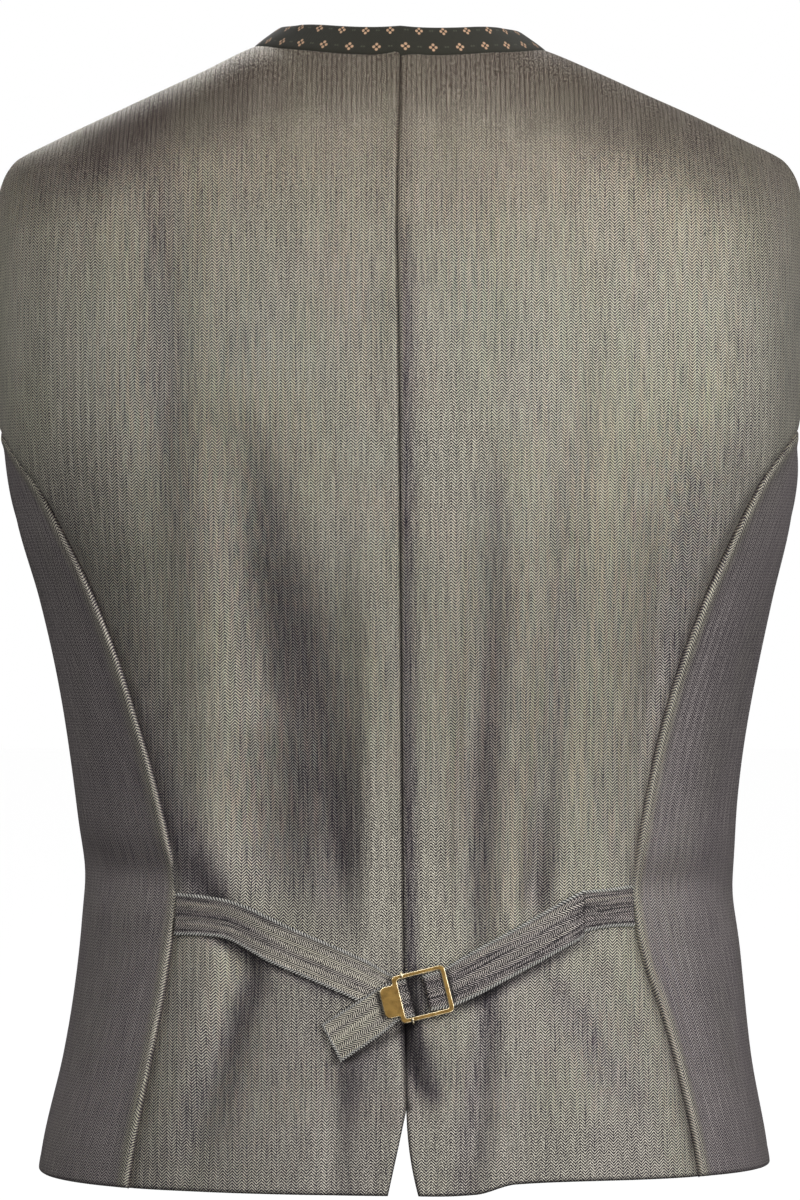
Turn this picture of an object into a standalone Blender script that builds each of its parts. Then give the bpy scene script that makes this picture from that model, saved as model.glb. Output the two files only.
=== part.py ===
"""Waistcoat as worn with no wearer: two backs, two sides, two fronts, stand collar, back straps, buckle.

Blender 4.5. The tables are in millimetres and degrees; the model is in metres, +Z up.
+X is the wearer's left and -Y the front. The origin is the middle of the neck opening, level with the
neck ends of the shoulder seams.

Every cloth piece lies on one body form. A place on the form is a turn round the body, in degrees from
the centre back towards the wearer's left, and a run, the distance down the cloth from the shoulder line.
"""
import math
from collections import namedtuple

import bmesh
import bpy
from mathutils import Matrix, Vector

MM = 0.001
NAME = "waistcoat"
CUTTERS = "joined_shapes"

# ---------------------------------------------------------------- driving dimensions, millimetres

CLOTH = 1.6            # wall of a body panel
GAP = 0.3              # clearance between neighbouring pieces
STRAP_CLOTH = 1.0      # wall of a strap
COLLAR_CLOTH = 2.0     # wall of the collar band
COLLAR_HEIGHT = 13.0
COLLAR_GAP = 1.2       # from the middle to each end of the band at the front
COLLAR_SEAM_GAP = 0.5
NECK_HALF = 76.0       # half the neck opening, between the shoulder seams
NECK_BACK = 67.0       # from the shoulder line back to the centre back of the neck
NECK_FRONT_DROP = 96.0
SHOULDER_TIP = 197.0   # half the width at the outer ends of the shoulder seams
SHOULDER_ROLL = 60.0   # radius over which the cloth turns from upright to the shoulder line
SIDE_SEAM_TURN = 104.0
SECTION_POWER = 2.4    # superellipse power of every level section
OVERLAP = 12.0         # how far each front passes the centre front
LAP_LIFT = CLOTH + 0.6 # the left front stands this far proud where it covers the right one
LAP_FULL = 26.0        # the lift is full up to this x and dies out at the next
LAP_END = 56.0

# Level sections of the body: half widths to the wearer's left and right, depths to back and front.
Ring = namedtuple("Ring", "z left right back front")
RINGS = [
    Ring(0, 210, 210, 90, 56),
    Ring(-50, 210, 210, 101, 70),
    Ring(-100, 210, 210, 111, 90),
    Ring(-150, 210, 210, 118, 110),
    Ring(-196, 207, 208, 121, 124),
    Ring(-245, 197, 201, 119, 130),
    Ring(-284, 185.5, 192, 114, 130),
    Ring(-336, 174.5, 181, 105, 122),
    Ring(-387, 167, 174, 98, 113),
    Ring(-426, 164, 173, 96, 109),
    Ring(-465, 165.5, 175.5, 99, 110),
    Ring(-517, 173.5, 181, 106, 114),
    Ring(-568, 185, 189.5, 111, 117),
    Ring(-600, 186, 190, 113, 119),
]

# Height of the shoulder line at a distance x from the middle. Inside the neck it is only a guide.
Crest = namedtuple("Crest", "x left right")
CRESTS = [
    Crest(0, 12, 12),
    Crest(40, 8, 7),
    Crest(60, 4.5, 2.7),
    Crest(76, 1, -1),
    Crest(103, -12.2, -12.8),
    Crest(144, -31, -31),
    Crest(175, -45.5, -45.5),
    Crest(190, -53, -53),
    Crest(200, -60, -60),
    Crest(207, -72, -72),
    Crest(211, -95, -95),
]

# Princess seams between back and side, from the armhole to the hem.
Seam = namedtuple("Seam", "z left right")
PRINCESS = [
    Seam(-197, 82.0, 80.0),
    Seam(-212, 75.8, 73.5),
    Seam(-228, 71.2, 69.5),
    Seam(-258, 66.8, 65.2),
    Seam(-300, 62.9, 61.6),
    Seam(-345, 60.2, 59.4),
    Seam(-390, 57.7, 58.0),
    Seam(-432, 55.6, 56.5),
    Seam(-458, 55.9, 56.8),
    Seam(-500, 56.5, 60.0),
    Seam(-540, 57.3, 61.8),
    Seam(-600, 58.4, 63.2),
]

# Centre back seam. Below its head the vent opens straight to the left and in a curve to the right.
Middle = namedtuple("Middle", "z x")
CENTRE_BACK = [
    Middle(20, 0),
    Middle(-37, 0.5),
    Middle(-85, 1.7),
    Middle(-160, 0.8),
    Middle(-400, -1),
    Middle(-470, -1.9),
    Middle(-538, -3.2),
    Middle(-600, -3.4),
]
VENT_HEAD = -538.0
VENT_LEFT = 9.5        # opening at the hem
VENT_RIGHT = 5.8

# Hem height round the body.
Hem = namedtuple("Hem", "turn z")
HEM = [
    Hem(-180, -589),
    Hem(-150, -585),
    Hem(-120, -578),
    Hem(-90, -574.5),
    Hem(-58, -574.5),
    Hem(-28, -575.5),
    Hem(-19, -580.5),
    Hem(0, -581),
    Hem(58, -579.5),
    Hem(90, -577.5),
    Hem(120, -579),
    Hem(150, -585),
    Hem(180, -589),
]

# Armhole edge. The back stretch runs from the shoulder tip to the princess seam, the under stretch on to
# the side seam, the front stretch back up to the shoulder tip.
Place = namedtuple("Place", "turn z")
ARMHOLE_BACK = [Place(82.0, -76), Place(83.4, -98), Place(83.0, -130), Place(82.6, -165)]
ARMHOLE_UNDER = [Place(85.5, -219), Place(90, -237), Place(96, -247)]
ARMHOLE_UNDER_END = Place(SIDE_SEAM_TURN, -243)
ARMHOLE_FRONT = [Place(112, -226), Place(119, -198), Place(123.5, -165), Place(124.5, -135),
                 Place(121, -104), Place(112, -79)]

# Front edge below the last button, as x and z: it curves away to the point of the hem.
EdgePoint = namedtuple("EdgePoint", "x z")
CUTAWAY_START = -505.0
CUTAWAY = [EdgePoint(-OVERLAP, CUTAWAY_START), EdgePoint(-6, -530), EdgePoint(7, -554),
           EdgePoint(25, -575), EdgePoint(47, -588)]

# Collar band: degrees it is turned up out of the cloth, from the centre front at 0 past the neck point
# at 1 to the centre back at 2.
Turn = namedtuple("Turn", "share up")
COLLAR_TURN = [Turn(0, 3), Turn(0.55, 4), Turn(0.75, 16), Turn(1, 40), Turn(1.5, 37), Turn(2, 30)]

# The largest folds of the worn cloth: a soft trough from one place to another on the back.
Fold = namedtuple("Fold", "x_top z_top x_low z_low width depth")
FOLDS = [
    Fold(74, -215, 24, -430, 24, 4.5),
    Fold(-52, -270, -40, -440, 17, 3.5),
    Fold(116, -370, 86, -438, 14, 3.0),
    Fold(69, -462, 100, -530, 11, 3.0),
    Fold(-43, -488, -34, -556, 11, 3.0),
    Fold(-14, -110, -15, -535, 8, 1.8),
    Fold(172, -72, 104, -38, 10, 2.2),
    Fold(-112, -42, -176, -78, 10, 2.2),
]

# Straps, station by station: middle, height over the back, slant of the cross line, half width.
Station = namedtuple("Station", "x z lift slant half")
LEFT_STRAP = [
    Station(112.6, -442.2, 1.0, -2, 10.4),
    Station(101, -442.6, 1.0, -3, 9.9),
    Station(88, -444.0, 1.0, -7, 9.4),
    Station(78.5, -447.4, 1.2, -15, 9.5),
    Station(69, -452.2, 1.5, -22, 9.8),
    Station(59, -457.2, 1.6, -25, 10),
    Station(34.4, -467.6, 1.4, -24, 10),
    Station(20, -474, 1.2, -20, 10),
    Station(9, -479.4, 1.0, -4, 9.8),
]
LEFT_TAIL = [
    Station(5.5, -486, 3.5, 20, 9.6),
    Station(13, -491.5, 2.9, 29, 10),
    Station(24, -498.8, 2.7, 31, 10.2),
    Station(34.4, -505.5, 2.3, 28, 10.3),
]
RIGHT_RETURN = [
    Station(-37.5, -471.3, 1.0, 27, 9.4),
    Station(-28, -476.4, 1.1, 22, 9.2),
]
RIGHT_STRAP = [
    Station(-23.6, -478.3, 3.5, 15, 9.5),
    Station(-35, -472.4, 2.9, 25, 10),
    Station(-47.5, -465.6, 2.6, 28, 10.2),
    Station(-62, -457.9, 2.4, 28, 10.2),
    Station(-79.2, -448.3, 2.5, 24, 10.4),
    Station(-86, -444.5, 2.8, 12, 10.9),
    Station(-91, -441.6, 2.9, 0, 11.4),
    Station(-92.6, -440.3, 1.3, 0, 10.2),
    Station(-105, -438.8, 1.0, 2, 9.5),
    Station(-117.2, -437.9, 1.0, 3, 10.2),
]

# Buckle: its middle on the back, its tilt, and its own frame with x along the strap and y across.
BUCKLE_X = -11.3
BUCKLE_Z = -481.4
BUCKLE_TILT = 14.0
BUCKLE_LIFT = 5.1      # middle of the frame over the cloth
FRAME_THICK = 1.2
FRAME_HALF_X = 13.8
FRAME_HALF_Y = 12.2
PLATE_HALF_Y = 8.1
WINDOW_HALF_Y = 9.9
Corner = namedtuple("Corner", "x y radius")
FRAME_CORNERS = [
    Corner(FRAME_HALF_X, -FRAME_HALF_Y, 2.6),
    Corner(FRAME_HALF_X, FRAME_HALF_Y, 2.6),
    Corner(-FRAME_HALF_X, FRAME_HALF_Y, 2.4),
    Corner(-FRAME_HALF_X, PLATE_HALF_Y, 0.8),
    Corner(-21.0, PLATE_HALF_Y, 3.2),
    Corner(-21.0, -PLATE_HALF_Y, 3.2),
    Corner(-FRAME_HALF_X, -PLATE_HALF_Y, 0.8),
    Corner(-FRAME_HALF_X, -FRAME_HALF_Y, 2.4),
]
WINDOW_CORNERS = [
    Corner(11.2, -WINDOW_HALF_Y, 1.2),
    Corner(11.2, WINDOW_HALF_Y, 1.2),
    Corner(-11.0, WINDOW_HALF_Y, 1.2),
    Corner(-11.0, -WINDOW_HALF_Y, 1.2),
]
BAR_X = -8.0           # sliding bar
BAR_LIFT = 2.3
BAR_RADIUS = 0.5
BAR_BEND = 0.5         # bevel of the bar's bends
FIXED_BAR_X = 3.6
FIXED_BAR_LIFT = 3.0
FIXED_BAR_RADIUS = 0.6
STAPLE_TAPER = 1.3     # the fixed bar is this much shorter, each end, than the width between its feet

# Buttons
BUTTON_COUNT = 7
BUTTON_TOP = -115.0
BUTTON_LOW = -495.0
BUTTON_STEPS = 16
Turned = namedtuple("Turned", "radius height")
BUTTON_PROFILE = [Turned(0, 4.4), Turned(3.2, 4.1), Turned(5.6, 3.5), Turned(6.6, 3.0), Turned(7.6, 2.9),
                  Turned(8, 2.3), Turned(7.6, 1.7), Turned(2, 1.4), Turned(2, 0), Turned(0, 0)]
STRAP_IN_BUCKLE = 9.4  # half widths of the straps where they bend round the sliding bar
RETURN_IN_BUCKLE = 8.9 # and round the fixed bar

# Grid of each panel
BODY_ROWS = 16         # from the hem to the underarm
ARM_ROWS = 10          # from the underarm to the shoulder
SHOULDER_COLUMNS = 7
NECK_COLUMNS = 7
SIDE_COLUMNS = 6
COLLAR_ROWS = 2
STRAP_COLUMNS = 3
WRAP_STEPS = 6
WRAP_SLACK = 0.1       # room for the flats of a strap bent round a bar
CURVE_STEPS = 2        # stations between two rows of a strap's table
CORNER_STEPS = 3

# Colours of the plain materials
HERRINGBONE = (0.30, 0.28, 0.24)
PRINTED_TWILL = (0.045, 0.042, 0.028)
BRASS = (0.55, 0.36, 0.12)


# ---------------------------------------------------------------- curves through the tables

def hermite(values, keys, index, share):
    """Value at a share of the span after index, on a smooth curve through the values."""
    def slope(at):
        low = max(at - 1, 0)
        high = min(at + 1, len(keys) - 1)
        return (values[high] - values[low]) / (keys[high] - keys[low])

    span = keys[index + 1] - keys[index]
    square = share * share
    cube = square * share
    return (values[index] * (2 * cube - 3 * square + 1)
            + values[index + 1] * (3 * square - 2 * cube)
            + slope(index) * span * (cube - 2 * square + share)
            + slope(index + 1) * span * (cube - square))


def look_up(table, key_column, key, column):
    """Read a column of a table at any key, along a smooth curve through its rows."""
    rows = sorted(table, key=lambda row: getattr(row, key_column))
    keys = [getattr(row, key_column) for row in rows]
    key = min(max(key, keys[0]), keys[-1])
    index = 0
    while index < len(keys) - 2 and key > keys[index + 1]:
        index += 1
    share = (key - keys[index]) / (keys[index + 1] - keys[index])
    return hermite([getattr(row, column) for row in rows], keys, index, share)


def smooth_line(points, count):
    """Points at even distances along a smooth curve through the given ones."""
    keys = [0.0]
    for before, after in zip(points, points[1:]):
        keys.append(keys[-1] + math.dist(before, after))
    result = []
    for step in range(count + 1):
        key = keys[-1] * step / count
        index = 0
        while index < len(keys) - 2 and key > keys[index + 1]:
            index += 1
        share = (key - keys[index]) / (keys[index + 1] - keys[index])
        result.append(tuple(hermite([point[axis] for point in points], keys, index, share)
                            for axis in range(len(points[0]))))
    return result


# ---------------------------------------------------------------- the body form

def side_of(x):
    return "left" if x > 0 else "right"


def crest_height(x):
    return look_up(CRESTS, "x", abs(x), side_of(x))


def section_point(turn, z):
    """Point of the level section at this height, before the shoulder roll."""
    sine = math.sin(math.radians(turn))
    cosine = math.cos(math.radians(turn))
    width = look_up(RINGS, "z", z, side_of(sine))
    depth = look_up(RINGS, "z", z, "back" if cosine > 0 else "front")
    radius = ((abs(sine) / width) ** SECTION_POWER
              + (abs(cosine) / depth) ** SECTION_POWER) ** (-1 / SECTION_POWER)
    return radius * sine, radius * cosine


def turn_at(x, z, face):
    """Turn of the point at distance x from the middle, on the back or the front."""
    width = look_up(RINGS, "z", z, side_of(x))
    depth = look_up(RINGS, "z", z, face)
    share = max(1 - (abs(x) / width) ** SECTION_POWER, 0)
    y = depth * share ** (1 / SECTION_POWER)
    turn = math.degrees(math.atan2(x, y))
    if face == "back":
        return turn
    return math.copysign(180, x) - turn


def roll_share(drop):
    """How far the cloth has come out from the shoulder line, from 0 to 1."""
    if drop >= SHOULDER_ROLL:
        return 1.0
    return math.sqrt(1 - (1 - max(drop, 0) / SHOULDER_ROLL) ** 2)


def drop_of(run):
    """Height lost over a run down the cloth from the shoulder line."""
    quarter = SHOULDER_ROLL * math.pi / 2
    if run < quarter:
        return SHOULDER_ROLL * (1 - math.cos(run / SHOULDER_ROLL))
    return SHOULDER_ROLL + run - quarter


def run_of(turn, z):
    """Run down the cloth that reaches this height."""
    x, _ = section_point(turn, z)
    drop = max(crest_height(x) - z, 0)
    if drop < SHOULDER_ROLL:
        return SHOULDER_ROLL * math.acos(1 - drop / SHOULDER_ROLL)
    return SHOULDER_ROLL * math.pi / 2 + drop - SHOULDER_ROLL


def form(turn, run):
    """Point of the plain body form."""
    drop = drop_of(run)
    z = -drop
    for _ in range(8):
        x, y = section_point(turn, z)
        z = crest_height(x) - drop
    return Vector((x, y * roll_share(drop), z))


def outward(turn, run):
    """Unit vector out of the body form."""
    step = 0.5
    low = max(run - 2, 0)
    along = form(turn - step, run) - form(turn + step, run)
    up = form(turn, low) - form(turn, run + 2)
    return along.cross(up).normalized()


def fold_depth(point):
    """How far the folds take the cloth in at a point of the back."""
    depth = 0.0
    for fold in FOLDS:
        start = Vector((fold.x_top, fold.z_top))
        line = Vector((fold.x_low, fold.z_low)) - start
        offset = Vector((point.x, point.z)) - start
        share = offset.dot(line) / line.length_squared
        if not 0 < share < 1:
            continue
        away = (offset - line * share).length / fold.width
        depth += fold.depth * math.sin(math.pi * share) ** 0.7 * math.exp(-2 * away * away)
    return depth


def cloth_point(turn, run, depth):
    """Point of a panel, a depth inside its outer face: the form with the folds and the front lap."""
    point = form(turn, run)
    away = -depth
    if point.y > 0:
        away -= fold_depth(point)
    elif turn > 0:
        share = min(max((LAP_END - point.x) / (LAP_END - LAP_FULL), 0), 1)
        away += LAP_LIFT * share * share * (3 - 2 * share)
    return point + outward(turn, run) * away


# ---------------------------------------------------------------- edges of the panels

def with_runs(places):
    return [(turn, run_of(turn, z)) for turn, z in places]


def shifted(places, distance):
    """Move an edge round the body by a distance in millimetres."""
    moved = []
    for turn, run in places:
        point = form(turn, run)
        moved.append((turn + math.degrees(distance / math.hypot(point.x, point.y)), run))
    return moved


def hem_height(turn):
    return look_up(HEM, "turn", turn, "z")


def princess_turn(z, sign):
    return sign * look_up(PRINCESS, "z", z, "left" if sign > 0 else "right")


def princess_edge(sign):
    top = PRINCESS[0].z
    bottom = hem_height(princess_turn(PRINCESS[-1].z, sign))
    heights = [bottom + (top - bottom) * row / BODY_ROWS for row in range(BODY_ROWS + 1)]
    return with_runs([(princess_turn(z, sign), z) for z in heights])


def side_seam(sign):
    turn = sign * SIDE_SEAM_TURN
    bottom = hem_height(turn)
    top = ARMHOLE_UNDER_END.z
    return with_runs([(turn, bottom + (top - bottom) * row / BODY_ROWS) for row in range(BODY_ROWS + 1)])


def armhole_stretch(start, middle, end, sign, count):
    """Armhole edge from one seam to the next, as turn and run."""
    inner = with_runs([(sign * place.turn, place.z) for place in middle])
    return smooth_line([start] + inner + [end], count)


def shoulder_place(x, face):
    """Place on a shoulder seam, half a gap from the shoulder line."""
    turn = turn_at(x, crest_height(x), face)
    full = abs(section_point(turn, crest_height(x))[1])
    return turn, SHOULDER_ROLL * math.asin(GAP / 2 / full)


def shoulder_edge(sign, face):
    """Shoulder seam from the tip to the neck."""
    step = (NECK_HALF - SHOULDER_TIP) / SHOULDER_COLUMNS
    return [shoulder_place(sign * (SHOULDER_TIP + step * column), face)
            for column in range(SHOULDER_COLUMNS + 1)]


def back_neck_place(angle, sign):
    """Place on the back of the neck opening, an oval in plan."""
    x = sign * NECK_HALF * math.sin(angle)
    y = NECK_BACK * math.cos(angle)
    run = 0.0
    for _ in range(6):
        z = crest_height(x) - drop_of(run)
        turn = turn_at(x, z, "back")
        full = section_point(turn, z)[1]
        run = SHOULDER_ROLL * math.asin(min(y / full, 1))
    return turn, max(run, shoulder_place(x, "back")[1])


def back_neck_edge(sign):
    """Neck edge of a back, from the shoulder seam to the centre back."""
    edge = []
    for column in range(NECK_COLUMNS + 1):
        angle = math.pi / 2 * (1 - column / NECK_COLUMNS)
        edge.append(back_neck_place(angle, sign))
    return edge


def front_neck_place(angle, sign):
    """Place on the front of the neck opening, an oval seen from the front."""
    x = sign * NECK_HALF * math.cos(angle)
    top = crest_height(sign * NECK_HALF)
    z = top - (NECK_FRONT_DROP + top) * math.sin(angle)
    turn = turn_at(x, z, "front")
    return turn, max(run_of(turn, z), shoulder_place(x, "front")[1])


def front_edge(sign):
    """Front edge from the hem point up to the neck, as turn and run."""
    places = [(sign * point.x, point.z) for point in reversed(CUTAWAY)]
    low = smooth_line(places, BODY_ROWS // 2)
    top = -NECK_FRONT_DROP
    rows = BODY_ROWS + ARM_ROWS - len(low) + 1
    high = [(-sign * OVERLAP, CUTAWAY_START + (top - CUTAWAY_START) * (row + 1) / rows)
            for row in range(rows)]
    edge = []
    for x, z in low + high:
        turn = turn_at(x, z, "front")
        if turn * sign < 0:
            turn += sign * 360
        edge.append((turn, run_of(turn, z)))
    return edge


def front_neck_edge(sign):
    """Neck edge of a front, from its front edge to the shoulder seam."""
    end = front_edge(sign)[-1]
    edge = [end]
    for column in range(1, NECK_COLUMNS + 1):
        angle = math.pi / 2 * (1 - column / NECK_COLUMNS)
        edge.append(front_neck_place(angle, sign))
    return edge


# ---------------------------------------------------------------- making pieces

def plain_material(name, colour, roughness, metallic=0.0):
    material = bpy.data.materials.new(name)
    material.use_nodes = True
    shader = material.node_tree.nodes["Principled BSDF"]
    shader.inputs["Base Color"].default_value = (*colour, 1)
    shader.inputs["Roughness"].default_value = roughness
    shader.inputs["Metallic"].default_value = metallic
    return material


def add_object(name, data, material):
    piece = bpy.data.objects.new(name, data)
    data.materials.append(material)
    bpy.data.collections[NAME].objects.link(piece)
    return piece


def grid_object(name, columns, rows, place, material):
    """Grid whose corner indices (0..columns, 0..rows) are put where place(column, row) says."""
    grid = bmesh.new()
    bmesh.ops.create_grid(grid, x_segments=columns, y_segments=rows, size=0.5)
    for vertex in grid.verts:
        column = round((vertex.co.x + 0.5) * columns)
        row = round((vertex.co.y + 0.5) * rows)
        vertex.co = place(column, row) * MM
    mesh = bpy.data.meshes.new(name)
    grid.to_mesh(mesh)
    grid.free()
    mesh.shade_smooth()
    return add_object(name, mesh, material)


def thicken(piece, wall, offset):
    solid = piece.modifiers.new("wall", "SOLIDIFY")
    solid.thickness = wall * MM
    solid.offset = offset
    solid.use_even_offset = True


def shell_object(name, columns, rows, place, wall, material):
    """Closed shell: an outer grid and an inner one, a wall further in, at place(column, row, depth)."""
    shell = bmesh.new()
    bmesh.ops.create_grid(shell, x_segments=columns, y_segments=rows, size=0.5)
    inner = bmesh.ops.extrude_face_region(shell, geom=shell.faces[:])["geom"]
    inner = [item for item in inner if isinstance(item, bmesh.types.BMVert)]
    bmesh.ops.translate(shell, verts=inner, vec=(0, 0, -wall))
    bmesh.ops.recalc_face_normals(shell, faces=shell.faces[:])
    for vertex in shell.verts:
        column = round((vertex.co.x + 0.5) * columns)
        row = round((vertex.co.y + 0.5) * rows)
        vertex.co = place(column, row, -vertex.co.z) * MM
    bmesh.ops.triangulate(shell, faces=shell.faces[:], quad_method="SHORT_EDGE")
    mesh = bpy.data.meshes.new(name)
    shell.to_mesh(mesh)
    shell.free()
    return add_object(name, mesh, material)


def patch(start, end, bottom, top):
    """Columns of places filled in between four edges, which are given as places on the form."""
    rows = len(start) - 1
    filled = []
    for column in range(len(bottom)):
        s = column / (len(bottom) - 1)
        line = []
        for row in range(rows + 1):
            t = row / rows
            place = []
            for axis in range(2):
                sides = (1 - s) * start[row][axis] + s * end[row][axis]
                ends = (1 - t) * bottom[column][axis] + t * top[column][axis]
                corners = ((1 - t) * ((1 - s) * bottom[0][axis] + s * bottom[-1][axis])
                           + t * ((1 - s) * top[0][axis] + s * top[-1][axis]))
                place.append(sides + ends - corners)
            line.append(place)
        filled.append(line)
    return filled


def panel(name, places, material):
    """Cloth panel from its columns of places."""
    def place(column, row, depth):
        return cloth_point(*places[column][row], depth)

    shell_object(name, len(places) - 1, len(places[0]) - 1, place, CLOTH, material)


def wide_patch(start, end, bottom, top):
    """Two patches side by side, which meet on a line straight down from the neck point."""
    middle = len(bottom) // 2
    rows = len(start) - 1
    lift = top[middle][1] - (start[-1][1] + end[-1][1]) / 2
    drop = bottom[middle][1] - (start[0][1] + end[0][1]) / 2
    line = []
    for row in range(rows + 1):
        t = row / rows
        turn = top[middle][0] + (bottom[middle][0] - top[middle][0]) * (1 - t) ** 2
        line.append((turn, (start[row][1] + end[row][1]) / 2 + t * lift + (1 - t) * drop))
    near = patch(start, line, bottom[:middle + 1], top[:middle + 1])
    return near + patch(line, end, bottom[middle:], top[middle:])[1:]


def hem_edge(start, end, columns):
    """Hem between two places, following the hem's height round the body."""
    edge = []
    for column in range(columns + 1):
        turn = start[0] + (end[0] - start[0]) * column / columns
        edge.append((turn, run_of(turn, hem_height(turn))))
    edge[0] = start
    edge[-1] = end
    return edge


# ---------------------------------------------------------------- the pieces

def centre_back_x(z, sign):
    """Edge of a back at the centre back seam and, below it, along the vent."""
    opened = max((VENT_HEAD - z) / (VENT_HEAD - hem_height(0)), 0)
    vent = VENT_LEFT * opened if sign > 0 else -VENT_RIGHT * opened * opened
    return look_up(CENTRE_BACK, "z", z, "x") + sign * GAP / 2 + vent


def centre_back_edge(sign):
    """Centre edge of a back, from the hem to the neck."""
    bottom = hem_height(0)
    top = form(*back_neck_place(0, sign)).z
    rows = BODY_ROWS + ARM_ROWS
    edge = []
    for row in range(rows + 1):
        z = bottom + (top - bottom) * row / rows
        turn = turn_at(centre_back_x(z, sign), z, "back")
        edge.append((turn, run_of(turn, z)))
    return edge


def build_back(sign, material):
    outer = shifted(princess_edge(sign), -sign * GAP / 2)
    shoulder = shoulder_edge(sign, "back")
    armhole = armhole_stretch(outer[-1], ARMHOLE_BACK[::-1], shoulder[0], sign, ARM_ROWS)
    outer = outer[:-1] + armhole
    centre = centre_back_edge(sign)
    top = shoulder[:-1] + back_neck_edge(sign)
    top[-1] = centre[-1]
    bottom = hem_edge(outer[0], centre[0], len(top) - 1)
    if sign > 0:
        panel("back_left", wide_patch(outer, centre, bottom, top), material)
    else:
        panel("back_right", wide_patch(centre, outer, bottom[::-1], top[::-1]), material)


def build_side(sign, material):
    princess = princess_edge(sign)
    seam = side_seam(sign)
    inner = shifted(princess, sign * GAP / 2)
    outer = shifted(seam, -sign * GAP / 2)
    armhole = armhole_stretch(outer[-1], ARMHOLE_UNDER[::-1], inner[-1], sign, SIDE_COLUMNS)
    hem = hem_edge(outer[0], inner[0], SIDE_COLUMNS)
    if sign > 0:
        panel("side_left", patch(outer, inner, hem, armhole), material)
    else:
        panel("side_right", patch(inner, outer, hem[::-1], armhole[::-1]), material)


def build_front(sign, material):
    seam = shifted(side_seam(sign), sign * GAP / 2)
    shoulder = shoulder_edge(sign, "front")
    armhole = armhole_stretch(seam[-1], ARMHOLE_FRONT, shoulder[0], sign, ARM_ROWS)
    outer = seam[:-1] + armhole
    inner = front_edge(sign)
    top = front_neck_edge(sign)[:-1] + shoulder[::-1]
    hem = hem_edge(inner[0], outer[0], len(top) - 1)
    if sign > 0:
        panel("front_left", wide_patch(inner, outer, hem, top), material)
    else:
        panel("front_right", wide_patch(outer, inner, hem[::-1], top[::-1]), material)


def collar_line():
    """Seam of the collar: points on the neck edges, the cloth's outward direction and the lean."""
    corner_gap = (OVERLAP + COLLAR_GAP) / (OVERLAP + NECK_HALF * math.sin(math.pi / 2 / NECK_COLUMNS))
    seam = []
    for sign in (1, -1):
        places = front_neck_edge(sign) + back_neck_edge(sign)[1:]
        half = []
        for column, place in enumerate(places):
            lean = look_up(COLLAR_TURN, "share", column / NECK_COLUMNS, "up")
            half.append((cloth_point(*place, 0), outward(*place), lean))
        point, out, lean = half[0]
        half[0] = (point.lerp(half[1][0], corner_gap), out, lean)
        middle = half.pop()
        seam += half if sign > 0 else [middle] + half[::-1]
    return seam


def build_collar(material):
    seam = collar_line()
    last = len(seam) - 1

    def place(column, row, depth):
        point, out, lean = seam[column]
        along = (seam[min(column + 1, last)][0] - seam[max(column - 1, 0)][0]).normalized()
        flat = out.cross(along).normalized()
        lean = math.radians(lean)
        up = flat * math.cos(lean) + out * math.sin(lean)
        height = COLLAR_SEAM_GAP + COLLAR_HEIGHT * row / COLLAR_ROWS
        return point + up * height - along.cross(up) * depth

    shell_object("collar", last, COLLAR_ROWS, place, COLLAR_CLOTH, material)


def back_place(x, z, lift):
    """Point at a height over the plain form of the back."""
    turn = turn_at(x, z, "back")
    run = run_of(turn, z)
    return form(turn, run) + outward(turn, run) * lift


def buckle_station(along, lift, half):
    """Station of a strap on the buckle's own axis."""
    tilt = math.radians(BUCKLE_TILT)
    return Station(BUCKLE_X - along * math.cos(tilt), BUCKLE_Z + along * math.sin(tilt), lift,
                   BUCKLE_TILT, half)


def wrap(bar, bar_lift, bar_radius, towards, half):
    """Stations of a strap round a bar, from under it to over it."""
    radius = bar_radius + GAP + STRAP_CLOTH / 2 + WRAP_SLACK
    stations = []
    for step in range(WRAP_STEPS + 1):
        angle = math.pi * (step / WRAP_STEPS - 0.5)
        along = bar + towards * radius * math.cos(angle)
        stations.append(buckle_station(along, bar_lift + radius * math.sin(angle), half))
    return stations


def build_strap(name, route, material):
    def place(column, row):
        station = route[row]
        across = station.half * (2 * column / STRAP_COLUMNS - 1)
        slant = math.radians(station.slant)
        return back_place(station.x + across * math.sin(slant),
                          station.z + across * math.cos(slant), station.lift)

    strap = grid_object(name, STRAP_COLUMNS, len(route) - 1, place, material)
    thicken(strap, STRAP_CLOTH, 0)


def build_straps(material):
    left = smooth_line(LEFT_STRAP, CURVE_STEPS * (len(LEFT_STRAP) - 1))
    left += wrap(BAR_X, BAR_LIFT, BAR_RADIUS, 1, STRAP_IN_BUCKLE)
    left += smooth_line(LEFT_TAIL, CURVE_STEPS * (len(LEFT_TAIL) - 1))
    build_strap("strap_left", [Station(*row) for row in left], material)
    right = smooth_line(RIGHT_RETURN, CURVE_STEPS)
    right += wrap(FIXED_BAR_X, FIXED_BAR_LIFT, FIXED_BAR_RADIUS, -1, RETURN_IN_BUCKLE)
    right += smooth_line(RIGHT_STRAP, CURVE_STEPS * (len(RIGHT_STRAP) - 1))
    build_strap("strap_right", [Station(*row) for row in right], material)


def buckle_matrix():
    """The buckle's frame in the model: x along the strap, y across it, z out of the back."""
    turn = turn_at(BUCKLE_X, BUCKLE_Z, "back")
    out = outward(turn, run_of(turn, BUCKLE_Z))
    tilt = math.radians(BUCKLE_TILT)
    along = Vector((-math.cos(tilt), 0, math.sin(tilt)))
    along = (along - out * along.dot(out)).normalized()
    turned = Matrix((along, out.cross(along), out)).transposed().to_4x4()
    middle = back_place(BUCKLE_X, BUCKLE_Z, BUCKLE_LIFT) * MM
    return Matrix.Translation(middle) @ turned


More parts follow.
